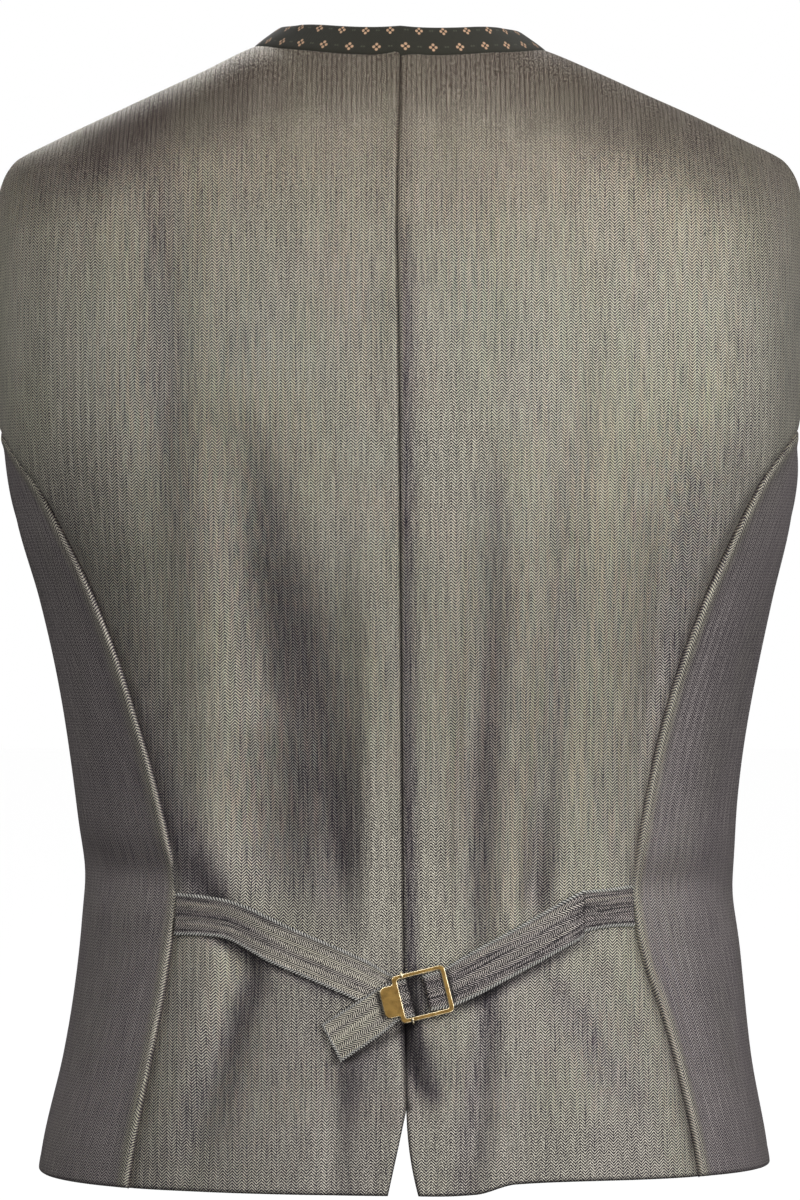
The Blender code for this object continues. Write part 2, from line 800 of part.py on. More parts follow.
def rounded(corners):
    """Outline through square corners (x, y, radius), each rounded with an arc."""
    outline = []
    for index, (x, y, radius) in enumerate(corners):
        corner = Vector((x, y))
        before = Vector(corners[index - 1][:2])
        after = Vector(corners[(index + 1) % len(corners)][:2])
        to_before = (before - corner).normalized() * radius
        to_after = (after - corner).normalized() * radius
        for step in range(CORNER_STEPS + 1):
            angle = math.pi / 2 * step / CORNER_STEPS
            outline.append(corner + to_before * (1 - math.sin(angle)) + to_after * (1 - math.cos(angle)))
    return outline


def curve_object(name, lines, closed, material):
    """Curve whose splines run through lists of points in millimetres."""
    curve = bpy.data.curves.new(name, "CURVE")
    for line in lines:
        spline = curve.splines.new("POLY")
        spline.points.add(len(line) - 1)
        spline.use_cyclic_u = closed
        for point, place in zip(spline.points, line):
            point.co = (*(Vector(place).to_3d() * MM), 1)
    return add_object(name, curve, material)


def wire_object(name, line, radius, material):
    wire = curve_object(name, [line], False, material)
    wire.data.dimensions = "3D"
    wire.data.bevel_depth = radius * MM
    wire.data.bevel_resolution = 2
    wire.data.use_fill_caps = True
    return wire


def as_mesh(piece):
    """Replace a curve by its welded mesh, so that it can be joined."""
    bpy.context.view_layer.update()
    graph = bpy.context.evaluated_depsgraph_get()
    mesh = bpy.data.meshes.new_from_object(piece.evaluated_get(graph))
    welded = bmesh.new()
    welded.from_mesh(mesh)
    bmesh.ops.remove_doubles(welded, verts=welded.verts[:], dist=1e-6)
    welded.to_mesh(mesh)
    welded.free()
    name = piece.name
    solid = bpy.data.objects.new(name, mesh)
    solid.matrix_world = piece.matrix_world
    bpy.data.objects.remove(piece)
    solid.name = name
    bpy.data.collections[NAME].objects.link(solid)
    return solid


def build_buckle(material):
    frame = curve_object("buckle_frame", [rounded(FRAME_CORNERS), rounded(WINDOW_CORNERS)], True, material)
    frame.data.dimensions = "2D"
    frame.data.fill_mode = "BOTH"
    frame.data.extrude = FRAME_THICK / 2 * MM
    frame = as_mesh(frame)

    rail = (FRAME_HALF_Y + WINDOW_HALF_Y) / 2
    low = FIXED_BAR_LIFT - BUCKLE_LIFT
    half = [(FIXED_BAR_X, rail, 0), (FIXED_BAR_X, rail - STAPLE_TAPER, low)]
    bar = wire_object("fixed_bar", half + [(x, -y, z) for x, y, z in reversed(half)],
                      FIXED_BAR_RADIUS, material)
    bar = as_mesh(bar)
    union = frame.modifiers.new("fixed bar", "BOOLEAN")
    union.operation = "UNION"
    union.object = bar
    bar.hide_render = True
    bar.display_type = "WIRE"
    bpy.data.collections[NAME].objects.unlink(bar)
    bpy.data.collections[CUTTERS].objects.link(bar)

    over = FRAME_THICK / 2 + GAP + BAR_RADIUS
    past = FRAME_HALF_Y + GAP + BAR_RADIUS
    under = BAR_LIFT - BUCKLE_LIFT
    hook = [
        (BAR_X, rail, over),
        (BAR_X, past - BAR_BEND, over),
        (BAR_X, past, over - BAR_BEND),
        (BAR_X, past, under + BAR_BEND),
        (BAR_X, past - BAR_BEND, under),
    ]
    sliding = wire_object("buckle_bar", hook + [(x, -y, z) for x, y, z in reversed(hook)],
                          BAR_RADIUS, material)
    for piece in (frame, bar, sliding):
        piece.matrix_world = buckle_matrix()


def turned_piece(name, profile, material):
    """Turned piece: a profile (radius, height) from its top down the outer side, spun round Z."""
    spun = bmesh.new()
    points = [spun.verts.new((radius * MM, 0, height * MM)) for radius, height in profile]
    for before, after in zip(points, points[1:]):
        spun.edges.new((before, after))
    mesh = bpy.data.meshes.new(name)
    spun.to_mesh(mesh)
    spun.free()
    piece = add_object(name, mesh, material)
    screw = piece.modifiers.new("turned", "SCREW")
    screw.axis = "Z"
    screw.steps = BUTTON_STEPS
    screw.render_steps = BUTTON_STEPS
    screw.use_merge_vertices = True
    screw.merge_threshold = 1e-6
    return piece


def build_buttons(material):
    for number in range(BUTTON_COUNT):
        name = f"button_{number + 1}"
        button = turned_piece(name, BUTTON_PROFILE, material)
        z = BUTTON_TOP + (BUTTON_LOW - BUTTON_TOP) * number / (BUTTON_COUNT - 1)
        run = run_of(180, z)
        out = outward(180, run)
        seat = cloth_point(180, run, -GAP)
        button.location = seat * MM
        button.rotation_euler = out.to_track_quat("Z", "Y").to_euler()


def build():
    for item in list(bpy.data.objects):
        bpy.data.objects.remove(item)
    for title in (NAME, CUTTERS):
        bpy.context.scene.collection.children.link(bpy.data.collections.new(title))
    herringbone = plain_material("herringbone", HERRINGBONE, 0.75)
    printed = plain_material("printed_twill", PRINTED_TWILL, 0.85)
    brass = plain_material("antique_brass", BRASS, 0.35, 1.0)
    for sign in (1, -1):
        build_back(sign, herringbone)
        build_side(sign, herringbone)
        build_front(sign, printed)
    build_collar(printed)
    build_straps(herringbone)
    build_buckle(brass)
    build_buttons(brass)


build()
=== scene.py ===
import math
from collections import namedtuple
from functools import partial

import bmesh
import bpy
import numpy as np
from mathutils import Matrix, Vector


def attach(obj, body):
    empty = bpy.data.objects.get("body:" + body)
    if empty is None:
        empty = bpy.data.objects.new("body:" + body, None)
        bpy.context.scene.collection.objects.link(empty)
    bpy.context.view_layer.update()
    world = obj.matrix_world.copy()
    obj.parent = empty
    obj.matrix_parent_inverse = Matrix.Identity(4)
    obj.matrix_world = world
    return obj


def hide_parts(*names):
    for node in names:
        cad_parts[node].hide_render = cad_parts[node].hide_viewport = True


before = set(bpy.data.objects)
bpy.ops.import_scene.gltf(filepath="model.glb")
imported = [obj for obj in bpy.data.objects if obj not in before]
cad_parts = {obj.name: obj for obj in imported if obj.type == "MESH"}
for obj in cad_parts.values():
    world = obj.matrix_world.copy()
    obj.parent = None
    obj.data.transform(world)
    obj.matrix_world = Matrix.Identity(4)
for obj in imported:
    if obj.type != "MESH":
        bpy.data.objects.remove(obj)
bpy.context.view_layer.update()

# ---------------------------------------------------------------- the two backs
# Herringbone cloth of dark violet warp and pale silky weft. Two backs meet in a centre seam that opens into
# a vent, and are drawn in at the waist. All cloth is laid on one body form, by turn (degrees round the body
# from the centre back) and run (millimetres down the cloth from the shoulder line).
MM = 0.001
SIDES = {1: "left", -1: "right"}
SHOULDER_ROLL = 60
SECTION_POWER = 2.4
SEAM_GAP = -0.12
UNDERLAP = 1.4
CLOTH_WALL = 1.2
VENT_HEAD = -538
VENT_LEFT = 9.5
VENT_RIGHT = 5.8
VENT_FADE = (VENT_HEAD - 7, VENT_HEAD + 8)
PRINCESS_FADE = (-215, -190)
HELD_DOWN = 12
# painted shade along the centre seam, darker on the right back: its share on each side and its width
SEAM_SHADE_LEFT, SEAM_SHADE_RIGHT, SEAM_SHADE_WIDTH = 0.35, 0.9, 0.9
FUZZ_FROM, FUZZ_FULL = -140, -20
NECK_HALF = 76
NECK_BACK = 67
SHOULDER_TIP = 197


def table(columns, *rows):
    """Rows of numbers under named columns. They are looked up by the first one."""
    Row = namedtuple("Row", columns)
    return [Row(*row) for row in rows]


def folds(*tables):
    """Tables down the cloth, one for each fold: the line that it follows, how far its sides reach to the
    wearer's left and right, and its depth."""
    return [table("z x left right depth", *rows) for rows in tables]


RINGS = table(
    "z left right back front",
    (0, 210, 210, 90, 56), (-50, 210, 210, 101, 70), (-100, 210, 210, 111, 90), (-150, 210, 210, 118, 110),
    (-196, 207, 208, 121, 124), (-245, 197, 201, 119, 130), (-284, 185.5, 192, 114, 130),
    (-336, 174.5, 181, 105, 122), (-387, 167, 174, 98, 113), (-426, 164, 173, 96, 109),
    (-465, 165.5, 175.5, 99, 110), (-517, 173.5, 181, 106, 114), (-568, 185, 189.5, 111, 117),
    (-600, 186, 190, 113, 119),
)
CRESTS = table(
    "x left right",
    (0, 12, 12), (40, 8, 7), (60, 4.5, 2.7), (76, 1, -1), (103, -12.2, -12.8), (144, -31, -31),
    (175, -45.5, -45.5), (190, -53, -53), (200, -60, -60), (207, -72, -72), (211, -95, -95),
)
PRINCESS = table(
    "z left right",
    (-197, 82.0, 80.0), (-212, 75.8, 73.5), (-228, 71.2, 69.5), (-258, 66.8, 65.2), (-300, 62.9, 61.6),
    (-345, 60.2, 59.4), (-390, 57.7, 58.0), (-432, 55.6, 56.5), (-458, 55.9, 56.8), (-500, 56.5, 60.0),
    (-540, 57.3, 61.8), (-600, 58.4, 63.2),
)
CENTRE_BACK = table(
    "z x",
    (20, 0), (-37, 0.5), (-85, 1.7), (-160, 0.8), (-400, -1), (-470, -1.9), (-538, -3.2), (-600, -3.4),
)
HEM = table(
    "turn z",
    (-180, -589), (-150, -585), (-120, -578), (-90, -574.5), (-58, -574.5), (-28, -575.5), (-19, -580.5),
    (0, -581), (58, -579.5), (90, -577.5), (120, -579), (150, -585), (180, -589),
)
ARMHOLE_BACK = table("turn z", (82.6, -165), (83.0, -130), (83.4, -98), (82.0, -76))

# Folds of the worn back. A negative depth is a ridge.
FOLDS = folds(
    # hollow of the left back and the steep wall that rises from it towards the centre seam
    [(-190, 80, 26, 20, 0), (-225, 80, 26, 24, 3.5), (-260, 78, 26, 32, 5.5), (-295, 74, 26, 34, 5.5),
     (-330, 70, 28, 28, 3.5), (-350, 66, 28, 24, 0)],
    [(-262, 68, 22, 28, 0), (-300, 68, 26, 38, 5), (-350, 67, 30, 44, 8.5), (-395, 68, 32, 52, 11),
     (-420, 67, 30, 54, 10), (-445, 62, 28, 46, 5), (-475, 55, 26, 34, 0)],
    # ridge between that wall and the centre seam
    [(-190, 14, 16, 15, 0), (-300, 15, 14, 15, -2.5), (-400, 16, 14, 16, -3.5), (-440, 16, 14, 16, -2),
     (-465, 16, 14, 16, 0)],
    [(-285, 44, 12, 10, 0), (-330, 41, 12, 10, 0.8), (-380, 37, 12, 10, 1), (-415, 33, 12, 10, 1.6),
     (-440, 30, 10, 9, 0)],
    # pinch at the left strap's root and the crease that runs down from it
    [(-415, 103, 12, 12, 0), (-432, 98, 12, 12, 3), (-450, 86, 12, 12, 5), (-470, 77, 12, 12, 4),
     (-490, 74, 12, 12, 0)],
    # hollow of the right back
    [(-190, -41, 13, 16, 0), (-250, -40.5, 13, 17, 3.4), (-310, -39, 13, 18, 5.4), (-360, -36, 14, 18, 6.6),
     (-430, -34, 15, 18, 7), (-470, -35, 14, 15, 4), (-500, -37, 12, 12, 0)],
    [(-140, -92, 20, 14, 0), (-200, -89, 20, 14, 2), (-300, -80, 18, 13, 3), (-390, -71, 15, 12, 4),
     (-430, -68, 11, 10, 6.5), (-450, -66, 10, 10, 2), (-462, -65, 10, 10, 0)],
    # full, flat cloth over the blades, out to the armholes
    [(-50, 184, 26, 60, 0), (-110, 184, 26, 60, -7), (-200, 183, 26, 60, -8), (-250, 178, 24, 50, -4),
     (-290, 172, 50, 24, 0)],
    [(-50, -184, 60, 26, 0), (-110, -184, 60, 26, -5), (-200, -183, 60, 26, -7), (-260, -178, 50, 24, -4),
     (-330, -172, 24, 50, 0)],
    # shallow hollows beside the blades
    [(-60, 118, 26, 20, 0), (-120, 119, 26, 18, 1.8), (-220, 119, 26, 16, 2.6), (-300, 121, 24, 16, 1.5),
     (-340, 122, 24, 16, 0)],
    [(-190, -136, 20, 16, 0), (-240, -134, 20, 16, 3), (-300, -130, 18, 14, 3.5), (-360, -126, 16, 12, 2),
     (-400, -124, 16, 12, 0)],
    # below the strap
    [(-455, 80, 14, 12, 0), (-475, 84, 14, 15, 4.5), (-500, 88, 14, 17, 5.5), (-540, 99, 16, 18, 4),
     (-575, 106, 18, 18, 1)],
    [(-492, -1, 8, 8, 0), (-503, -3, 8, 10, 3), (-520, -6, 9, 13, 4.5), (-536, -9, 9, 12, 2),
     (-548, -10, 9, 10, 0)],
    [(-480, -41, 10, 10, 0), (-500, -41, 10, 10, 3), (-540, -38, 11, 11, 3), (-575, -34, 11, 12, 2.6),
     (-600, -31, 11, 12, 2)],
    [(-462, -66, 18, 14, 0), (-482, -78, 18, 15, 2.4), (-510, -98, 18, 16, 2.8), (-540, -118, 18, 16, 1.6),
     (-560, -128, 18, 16, 0)],
    [(-455, -92, 14, 12, 0), (-470, -98, 14, 12, 1.8), (-500, -114, 14, 12, 2), (-530, -130, 14, 12, 0)],
    [(-500, 30, 12, 12, 0), (-530, 31, 12, 12, 3), (-560, 33, 12, 12, 2.5), (-590, 35, 12, 12, 1)],
)

# Painted shade and light: places where the pale weft gives way to the dark warp, as shade in the folds,
# troughs and hollows and under the straps; a negative depth adds pale weft, as light. The depth is the share
# of the weft that is taken away.
PAINTED_SHADING = folds(
    # beside the left princess seam, down to the strap's root
    [(-200, 176, 24, 20, 0), (-240, 172, 26, 22, 0.15), (-284, 157, 30, 26, 0.4), (-334, 139, 34, 27, 0.6),
     (-384, 121, 30, 26, 0.8), (-412, 106, 26, 22, 1.0), (-436, 94, 22, 16, 1.0), (-452, 84, 16, 14, 0.5),
     (-466, 78, 14, 14, 0)],
    # in the great fold of the left back
    [(-185, 70, 20, 16, 0), (-234, 66, 23, 18, 0.27), (-264, 62, 26, 18, 0.3), (-294, 56, 30, 19, 0.36),
     (-324, 47, 34, 18, 0.48), (-360, 41, 36, 18, 0.58), (-394, 38, 40, 19, 0.62), (-420, 40, 42, 21, 0.5),
     (-446, 44, 38, 24, 0)],
    # in the two folds of the right back
    [(-190, -47, 9, 9, 0), (-230, -46, 10, 9, 0.22), (-334, -44, 10, 9, 0.25), (-400, -40, 10, 9, 0.32),
     (-440, -37, 10, 8, 0.35), (-470, -36, 9, 8, 0.2), (-480, -36, 9, 8, 0)],
    [(-175, -90, 10, 10, 0), (-280, -82, 11, 10, 0.2), (-370, -73, 10, 10, 0.25), (-400, -69, 8, 7, 0.4),
     (-430, -67, 7, 7, 0.5), (-446, -67, 7, 7, 0)],
    # in the creases of the skirt
    [(-470, -44, 7, 7, 0), (-490, -43, 7, 8, 0.45), (-515, -39, 8, 8, 0.45), (-560, -33, 8, 9, 0.35),
     (-590, -30, 8, 9, 0.2)],
    [(-455, 74, 9, 9, 0), (-470, 77, 9, 9, 0.35), (-500, 86, 11, 11, 0.4), (-540, 104, 14, 14, 0.35),
     (-575, 120, 14, 14, 0.1)],
    [(-462, -72, 12, 10, 0), (-480, -82, 12, 10, 0.3), (-520, -108, 14, 12, 0.3), (-550, -128, 14, 12, 0)],
    # along the centre seam
    [(-90, -2.5, 2.5, 4, 0), (-130, -2.5, 2.5, 5, 0.7), (-300, -3, 2.5, 6, 0.8),
     (-400, -3.5, 2.5, 6.5, 0.95), (-480, -5, 2.5, 7, 1.0), (-520, -6, 2.5, 5, 0.4), (-545, -6, 3, 4, 0)],
    # beside the right princess seam
    [(-180, -165, 22, 20, 0), (-220, -158, 22, 20, 0.35), (-280, -146, 20, 20, 0.4),
     (-334, -133, 18, 18, 0.4), (-390, -124, 14, 14, 0.2), (-430, -118, 12, 12, 0.3),
     (-450, -116, 12, 12, 0)],
    # shoulder and blade on the left
    [(-15, 118, 26, 20, 0), (-35, 124, 30, 22, 0.26), (-62, 152, 30, 26, 0.34), (-85, 175, 26, 26, 0)],
    [(-60, 122, 12, 14, 0), (-100, 120, 12, 14, 0.3), (-200, 117, 12, 14, 0.3), (-262, 114, 12, 14, 0)],
    # painted light on the ridges and under the left arm
    [(-265, 106, 18, 18, 0), (-310, 102, 18, 18, -0.22), (-400, 98, 18, 16, -0.22), (-440, 92, 16, 14, 0)],
    [(-270, 13, 10, 9, 0), (-320, 13, 10, 9, -0.15), (-430, 13, 10, 9, -0.15), (-460, 13, 10, 9, 0)],
    [(-80, 176, 26, 26, 0), (-120, 182, 30, 26, -0.3), (-200, 182, 30, 26, -0.26), (-240, 180, 24, 20, 0)],
    # all over the skirt
    [(-460, 0, 400, 400, 0), (-490, 0, 400, 400, 0.27), (-600, 0, 400, 400, 0.27)],
    # under the tail, the buckle and the right strap
    [(-492, 24, 14, 16, 0), (-508, 22, 16, 18, 0.55), (-530, 24, 14, 12, 0.4), (-552, 30, 12, 12, 0)],
    [(-466, -6, 10, 12, 0), (-480, -6, 12, 14, 0.9), (-497, -4, 6, 8, 0.8), (-516, -9, 7, 8, 0.9),
     (-528, -15, 7, 7, 0.8), (-538, -19, 6, 6, 0)],
    [(-446, -100, 16, 12, 0), (-453, -90, 16, 14, 0.6), (-462, -75, 16, 14, 0.75),
     (-472, -57, 14, 14, 0.75), (-481, -42, 12, 14, 0.7), (-490, -29, 10, 12, 0)],
    [(-446, 104, 10, 10, 0), (-453, 92, 12, 12, 0.6), (-463, 69, 12, 12, 0.7), (-479, 34, 12, 12, 0.7),
     (-487, 18, 10, 10, 0)],
)

# Painted shadows under the straps, the tail and the buckle, and painted shade at the left strap's root.
PAINTED_SHADOWS = folds(
    [(-452, -94, 8, 8, 0), (-461.5, -79, 9, 8, 0.7), (-470.5, -62, 9, 8, 0.8), (-478.5, -47.5, 9, 8, 0.8),
     (-485, -35, 8, 8, 0.8), (-490, -23, 8, 8, 0.6), (-494, -14, 8, 8, 0)],
    [(-516, 34, 7, 7, 0), (-514, 27, 8, 8, 0.7), (-508, 17, 8, 8, 0.75), (-502, 5, 8, 8, 0.75),
     (-497, -4, 6, 7, 0.9), (-492, -6, 5, 5, 0.7), (-486, -7, 5, 5, 0)],
    [(-494, -3, 5, 5, 0), (-500, -4, 5, 6, 0.6), (-515, -7, 5, 7, 0.55), (-528, -13, 6, 7, 0.45),
     (-538, -19, 6, 6, 0)],
    [(-468, -5, 4, 4, 0), (-474, -5.5, 4.5, 4.5, 0.8), (-492, -8.5, 4.5, 4.5, 0.8), (-496, -9, 4, 4, 0)],
    [(-450, 96, 8, 8, 0), (-457, 84, 8, 8, 0.45), (-463.5, 69, 8, 8, 0.45), (-471, 52, 8, 8, 0.4),
     (-479, 34.4, 8, 8, 0.45), (-485, 20, 7, 7, 0.5), (-489, 10, 6, 6, 0)],
    [(-395, 112, 16, 14, 0), (-418, 103, 18, 16, 0.3), (-434, 95, 18, 14, 0.4), (-444, 88, 14, 12, 0)],
    [(-505, 30, 14, 14, 0), (-525, 28, 14, 12, 0.2), (-552, 36, 12, 12, 0)],
)


def read(rows, column, at):
    """Read a column at any values of the first one, along a smooth curve through the rows."""
    rows = sorted(rows)
    keys = np.array([row[0] for row in rows], float)
    values = np.array([getattr(row, column) for row in rows], float)
    slopes = np.empty(len(keys))
    slopes[1:-1] = (values[2:] - values[:-2]) / (keys[2:] - keys[:-2])
    slopes[0] = (values[1] - values[0]) / (keys[1] - keys[0])
    slopes[-1] = (values[-1] - values[-2]) / (keys[-1] - keys[-2])
    at = np.clip(np.asarray(at, float), keys[0], keys[-1])
    index = np.clip(np.searchsorted(keys, at, side="right") - 1, 0, len(keys) - 2)
    span = keys[index + 1] - keys[index]
    share = (at - keys[index]) / span
    square = share * share
    cube = square * share
    return (values[index] * (2 * cube - 3 * square + 1) + values[index + 1] * (3 * square - 2 * cube)
            + slopes[index] * span * (cube - 2 * square + share) + slopes[index + 1] * span * (cube - square))


def two_sided(rows, at, positive, column, other):
    return np.where(positive, read(rows, column, at), read(rows, other, at))


def crest_height(x):
    return two_sided(CRESTS, np.abs(x), np.asarray(x) > 0, "left", "right")


def section_point(turn, z):
    """Point of the level section of the body at a height."""
    sine = np.sin(np.radians(turn))
    cosine = np.cos(np.radians(turn))
    width = two_sided(RINGS, z, sine > 0, "left", "right")
    depth = two_sided(RINGS, z, cosine > 0, "back", "front")
    radius = ((np.abs(sine) / width) ** SECTION_POWER
              + (np.abs(cosine) / depth) ** SECTION_POWER) ** (-1 / SECTION_POWER)
    return radius * sine, radius * cosine


def turn_at(x, z, face):
    """Turn of the point at a distance x from the middle, on the back or the front."""
    x = np.asarray(x, float)
    width = two_sided(RINGS, z, x > 0, "left", "right")
    share = np.maximum(1 - (np.abs(x) / width) ** SECTION_POWER, 0)
    y = read(RINGS, face, z) * share ** (1 / SECTION_POWER)
    turn = np.degrees(np.arctan2(x, y))
    return turn if face == "back" else np.copysign(180, x) - turn


def run_of(turn, z):
    """Run down the cloth that reaches this height."""
    x, _ = section_point(turn, z)
    drop = np.maximum(crest_height(x) - z, 0)
    rolled = SHOULDER_ROLL * np.arccos(np.clip(1 - drop / SHOULDER_ROLL, -1, 1))
    return np.where(drop < SHOULDER_ROLL, rolled, SHOULDER_ROLL * (math.pi / 2 - 1) + drop)


def with_runs(turn, z):
    turn = np.asarray(turn, float)
    return np.stack([turn, run_of(turn, z)], axis=-1)


def form(turn, run):
    """Points of the plain body form."""
    quarter = SHOULDER_ROLL * math.pi / 2
    rolled = SHOULDER_ROLL * (1 - np.cos(np.minimum(run, quarter) / SHOULDER_ROLL))
    drop = rolled + np.maximum(run - quarter, 0)
    share = np.sqrt(np.maximum(1 - (1 - np.clip(drop / SHOULDER_ROLL, 0, 1)) ** 2, 0))
    z = -drop
    for _ in range(8):
        x, y = section_point(turn, z)
        z = crest_height(x) - drop
    return np.stack([x, y * share, z], axis=-1)


def unit(vectors):
    return vectors / np.maximum(np.linalg.norm(vectors, axis=-1, keepdims=True), 1e-9)


def outward(turn, run):
    """Unit vectors out of the body form."""
    along = form(turn - 0.5, run) - form(turn + 0.5, run)
    up = form(turn, np.maximum(run - 2, 0)) - form(turn, run + 2)
    return unit(np.cross(along, up))


def depth_of(tables, points):
    """Depth of all the folds of some tables together."""
    x, z = points[..., 0], points[..., 2]
    depth = np.zeros_like(x)
    for rows in tables:
        away = x - read(rows, "x", z)
        reach = two_sided(rows, z, away > 0, "left", "right")
        depth += read(rows, "depth", z) * np.exp(-2 * (away / reach) ** 2)
    return depth


def travelled(points):
    """Distance along a line of points from its first one."""
    return np.concatenate([[0], np.cumsum(np.linalg.norm(np.diff(points, axis=0), axis=1))])


def on_curve(keys, points, wanted):
    """Points at the wanted keys on a smooth curve through the given ones."""
    return np.stack([read(table("at value", *zip(keys, column)), "value", wanted)
                     for column in np.transpose(points)], axis=-1)


def smooth_line(points, shares):
    """Points at shares of the length of a smooth curve through the given ones."""
    length = travelled(points)
    return on_curve(length, points, np.asarray(shares) * length[-1])


def shifted(places, distance):
    """Move an edge round the body by a distance in millimetres."""
    points = form(places[:, 0], places[:, 1])
    moved = places.copy()
    moved[:, 0] += np.degrees(distance / np.hypot(points[:, 0], points[:, 1]))
    return moved


def princess_edge(sign, shares):
    bottom = read(HEM, "z", sign * read(PRINCESS, SIDES[sign], PRINCESS[-1].z))
    z = bottom + (PRINCESS[0].z - bottom) * shares
    return with_runs(sign * read(PRINCESS, SIDES[sign], z), z)


def shoulder_place(x, face):
    turn = turn_at(x, crest_height(x), face)
    full = np.abs(section_point(turn, crest_height(x))[1])
    return np.stack([turn, SHOULDER_ROLL * np.arcsin(SEAM_GAP / 2 / full)], axis=-1)


def back_neck_places(angle, sign):
    """Places on the back of the neck opening, an oval in plan."""
    x = sign * NECK_HALF * np.sin(angle)
    y = NECK_BACK * np.cos(angle)
    run = np.zeros_like(x)
    for _ in range(6):
        z = crest_height(x) - SHOULDER_ROLL * (1 - np.cos(run / SHOULDER_ROLL))
        turn = turn_at(x, z, "back")
        run = SHOULDER_ROLL * np.arcsin(np.minimum(y / section_point(turn, z)[1], 1))
    return np.stack([turn, np.maximum(run, shoulder_place(x, "back")[..., 1])], axis=-1)


def centre_back_edge(sign, shares):
    """Edge of a back from the hem up the vent and the centre seam to the neck."""
    bottom = read(HEM, "z", 0)
    top = form(*back_neck_places(np.array([0.0]), sign)[0])[2]
    z = bottom + (top - bottom) * shares
    opened = np.maximum((VENT_HEAD - z) / (VENT_HEAD - bottom), 0)
    sewn = np.clip((z - VENT_HEAD) / (VENT_FADE[1] - VENT_HEAD), 0, 1)
    aside = VENT_LEFT * opened if sign > 0 else UNDERLAP * sewn - VENT_RIGHT * opened * opened
    return with_runs(turn_at(read(CENTRE_BACK, "x", z) + sign * SEAM_GAP / 2 + aside, z, "back"), z)


def hem_edge(start, end, shares):
    turn = start[0] + (end[0] - start[0]) * shares
    edge = with_runs(turn, read(HEM, "z", turn))
    edge[0] = start
    edge[-1] = end
    return edge


def patch(start, end, bottom, top, across, up):
    """Places filled in between four edges; across and up are the shares of the columns and rows."""
    s = across[:, None, None]
    t = up[None, :, None]
    sides = (1 - s) * start[None] + s * end[None]
    ends = (1 - t) * bottom[:, None] + t * top[:, None]
    corners = (1 - t) * ((1 - s) * bottom[0] + s * bottom[-1]) + t * ((1 - s) * top[0] + s * top[-1])
    return sides + ends - corners


def wide_patch(start, end, bottom, top, across, up):
    """Two patches side by side, which meet on a line straight down from the neck point."""
    middle = len(bottom) // 2
    lift = top[middle, 1] - (start[-1, 1] + end[-1, 1]) / 2
    drop = bottom[middle, 1] - (start[0, 1] + end[0, 1]) / 2
    turn = top[middle, 0] + (bottom[middle, 0] - top[middle, 0]) * (1 - up) ** 2
    line = np.stack([turn, (start[:, 1] + end[:, 1]) / 2 + up * lift + (1 - up) * drop], axis=-1)
    near = patch(start, line, bottom[:middle + 1], top[:middle + 1], 2 * across[:middle + 1], up)
    far = patch(line, end, bottom[middle:], top[middle:], 2 * across[middle:] - 1, up)
    return np.concatenate([near, far[1:]])


def mirrored(sign, fill, start, end, bottom, top, across, up, relief):
    """Fill a left panel between its edges, or a right one as its mirror image, run the other way."""
    if sign < 0:
        start, end, bottom, top, across = end, start, bottom[::-1], top[::-1], 1 - across[::-1]
        relief = (relief[1], relief[0], *relief[2:])
    return fill(start, end, bottom, top, across, up), relief


def lengths_along(points, axis):
    """Distance of every point of a grid from its first line."""
    steps = np.linalg.norm(np.diff(points, axis=axis), axis=-1)
    return np.insert(np.cumsum(steps, axis=axis), 0, 0, axis=axis)


# Shape of the cloth beside each kind of edge: height at a distance in from it.
relief_table = partial(table, "distance height")
TURNED = relief_table((0, -1.0), (0.4, -0.3), (1.0, 0.25), (2.2, 0.45), (5, 0.3), (9, 0))
LIP = relief_table((0, -0.5), (0.5, 0.5), (1.2, 1.0), (2.6, 1.2), (6, 0.6), (12, 0))
TROUGH = relief_table((0, -2.4), (1.2, -2.2), (2.2, -1.4), (4, -0.7), (6.5, -0.1), (10, 0.3), (17, 0))
GROOVE = relief_table((0, -1.6), (1.4, -1.6), (2.1, -1.35), (3.7, -0.7), (7, -0.2), (12, 0))
SHOULDER = relief_table((0, -2.6), (0.5, -0.6), (1.3, -0.1), (3, 0), (5, 0))


def eased(share):
    return share * share * (3 - 2 * share)


def rise(profile, distance, points):
    """Height beside an edge. Its profile is a table, or a function where it changes along the edge."""
    return profile(distance, points) if callable(profile) else read(profile, "height", distance)


def edge_up_to(low, high, below, above):
    """Relief of a side edge that changes from one kind to another over a stretch of height."""
    def profile(distance, points):
        share = eased(np.clip((points[..., 2] - low) / (high - low), 0, 1))
        return read(below, "height", distance) * (1 - share) + read(above, "height", distance) * share
    return profile


def sewn_down(profile, creases, reach):
    """Relief of an edge whose seam also holds the creases down close beside it."""
    def held(distance, points):
        return profile(distance, points) - creases(points) * (1 - eased(np.clip(distance / reach, 0, 1)))
    return held


# Distances round the body from the centre back, for each degree of turn and each step of height.
ARC_END = 200
ARC_LOW, ARC_STEP = -600, 10.0
arc_turn, arc_z = np.meshgrid(np.arange(-ARC_END, ARC_END + 1, 1.0), np.arange(ARC_LOW, 1, ARC_STEP))
arc_points = np.stack(section_point(arc_turn, arc_z), axis=-1)
ARCS = lengths_along(arc_points, 1)
ARCS -= ARCS[:, ARC_END:ARC_END + 1].copy()


def arc_at(turn, z):
    """Distance round the body to a place, between the four nearest entries of the table."""
    column = np.clip(turn + ARC_END, 0, 2 * ARC_END - 0.001)
    row = np.clip((z - ARC_LOW) / ARC_STEP, 0, len(ARCS) - 1.001)
    c, r = column.astype(int), row.astype(int)
    cs, rs = column - c, row - r
    return ((ARCS[r, c] * (1 - cs) + ARCS[r, c + 1] * cs) * (1 - rs)
            + (ARCS[r + 1, c] * (1 - cs) + ARCS[r + 1, c + 1] * cs) * rs)


def mesh_of(name, shape):
    mesh = bpy.data.meshes.new(name)
    shape.to_mesh(mesh)
    shape.free()
    return mesh


def in_scene(name, data):
    made = bpy.data.objects.new(name, data)
    bpy.context.scene.collection.objects.link(made)
    return made


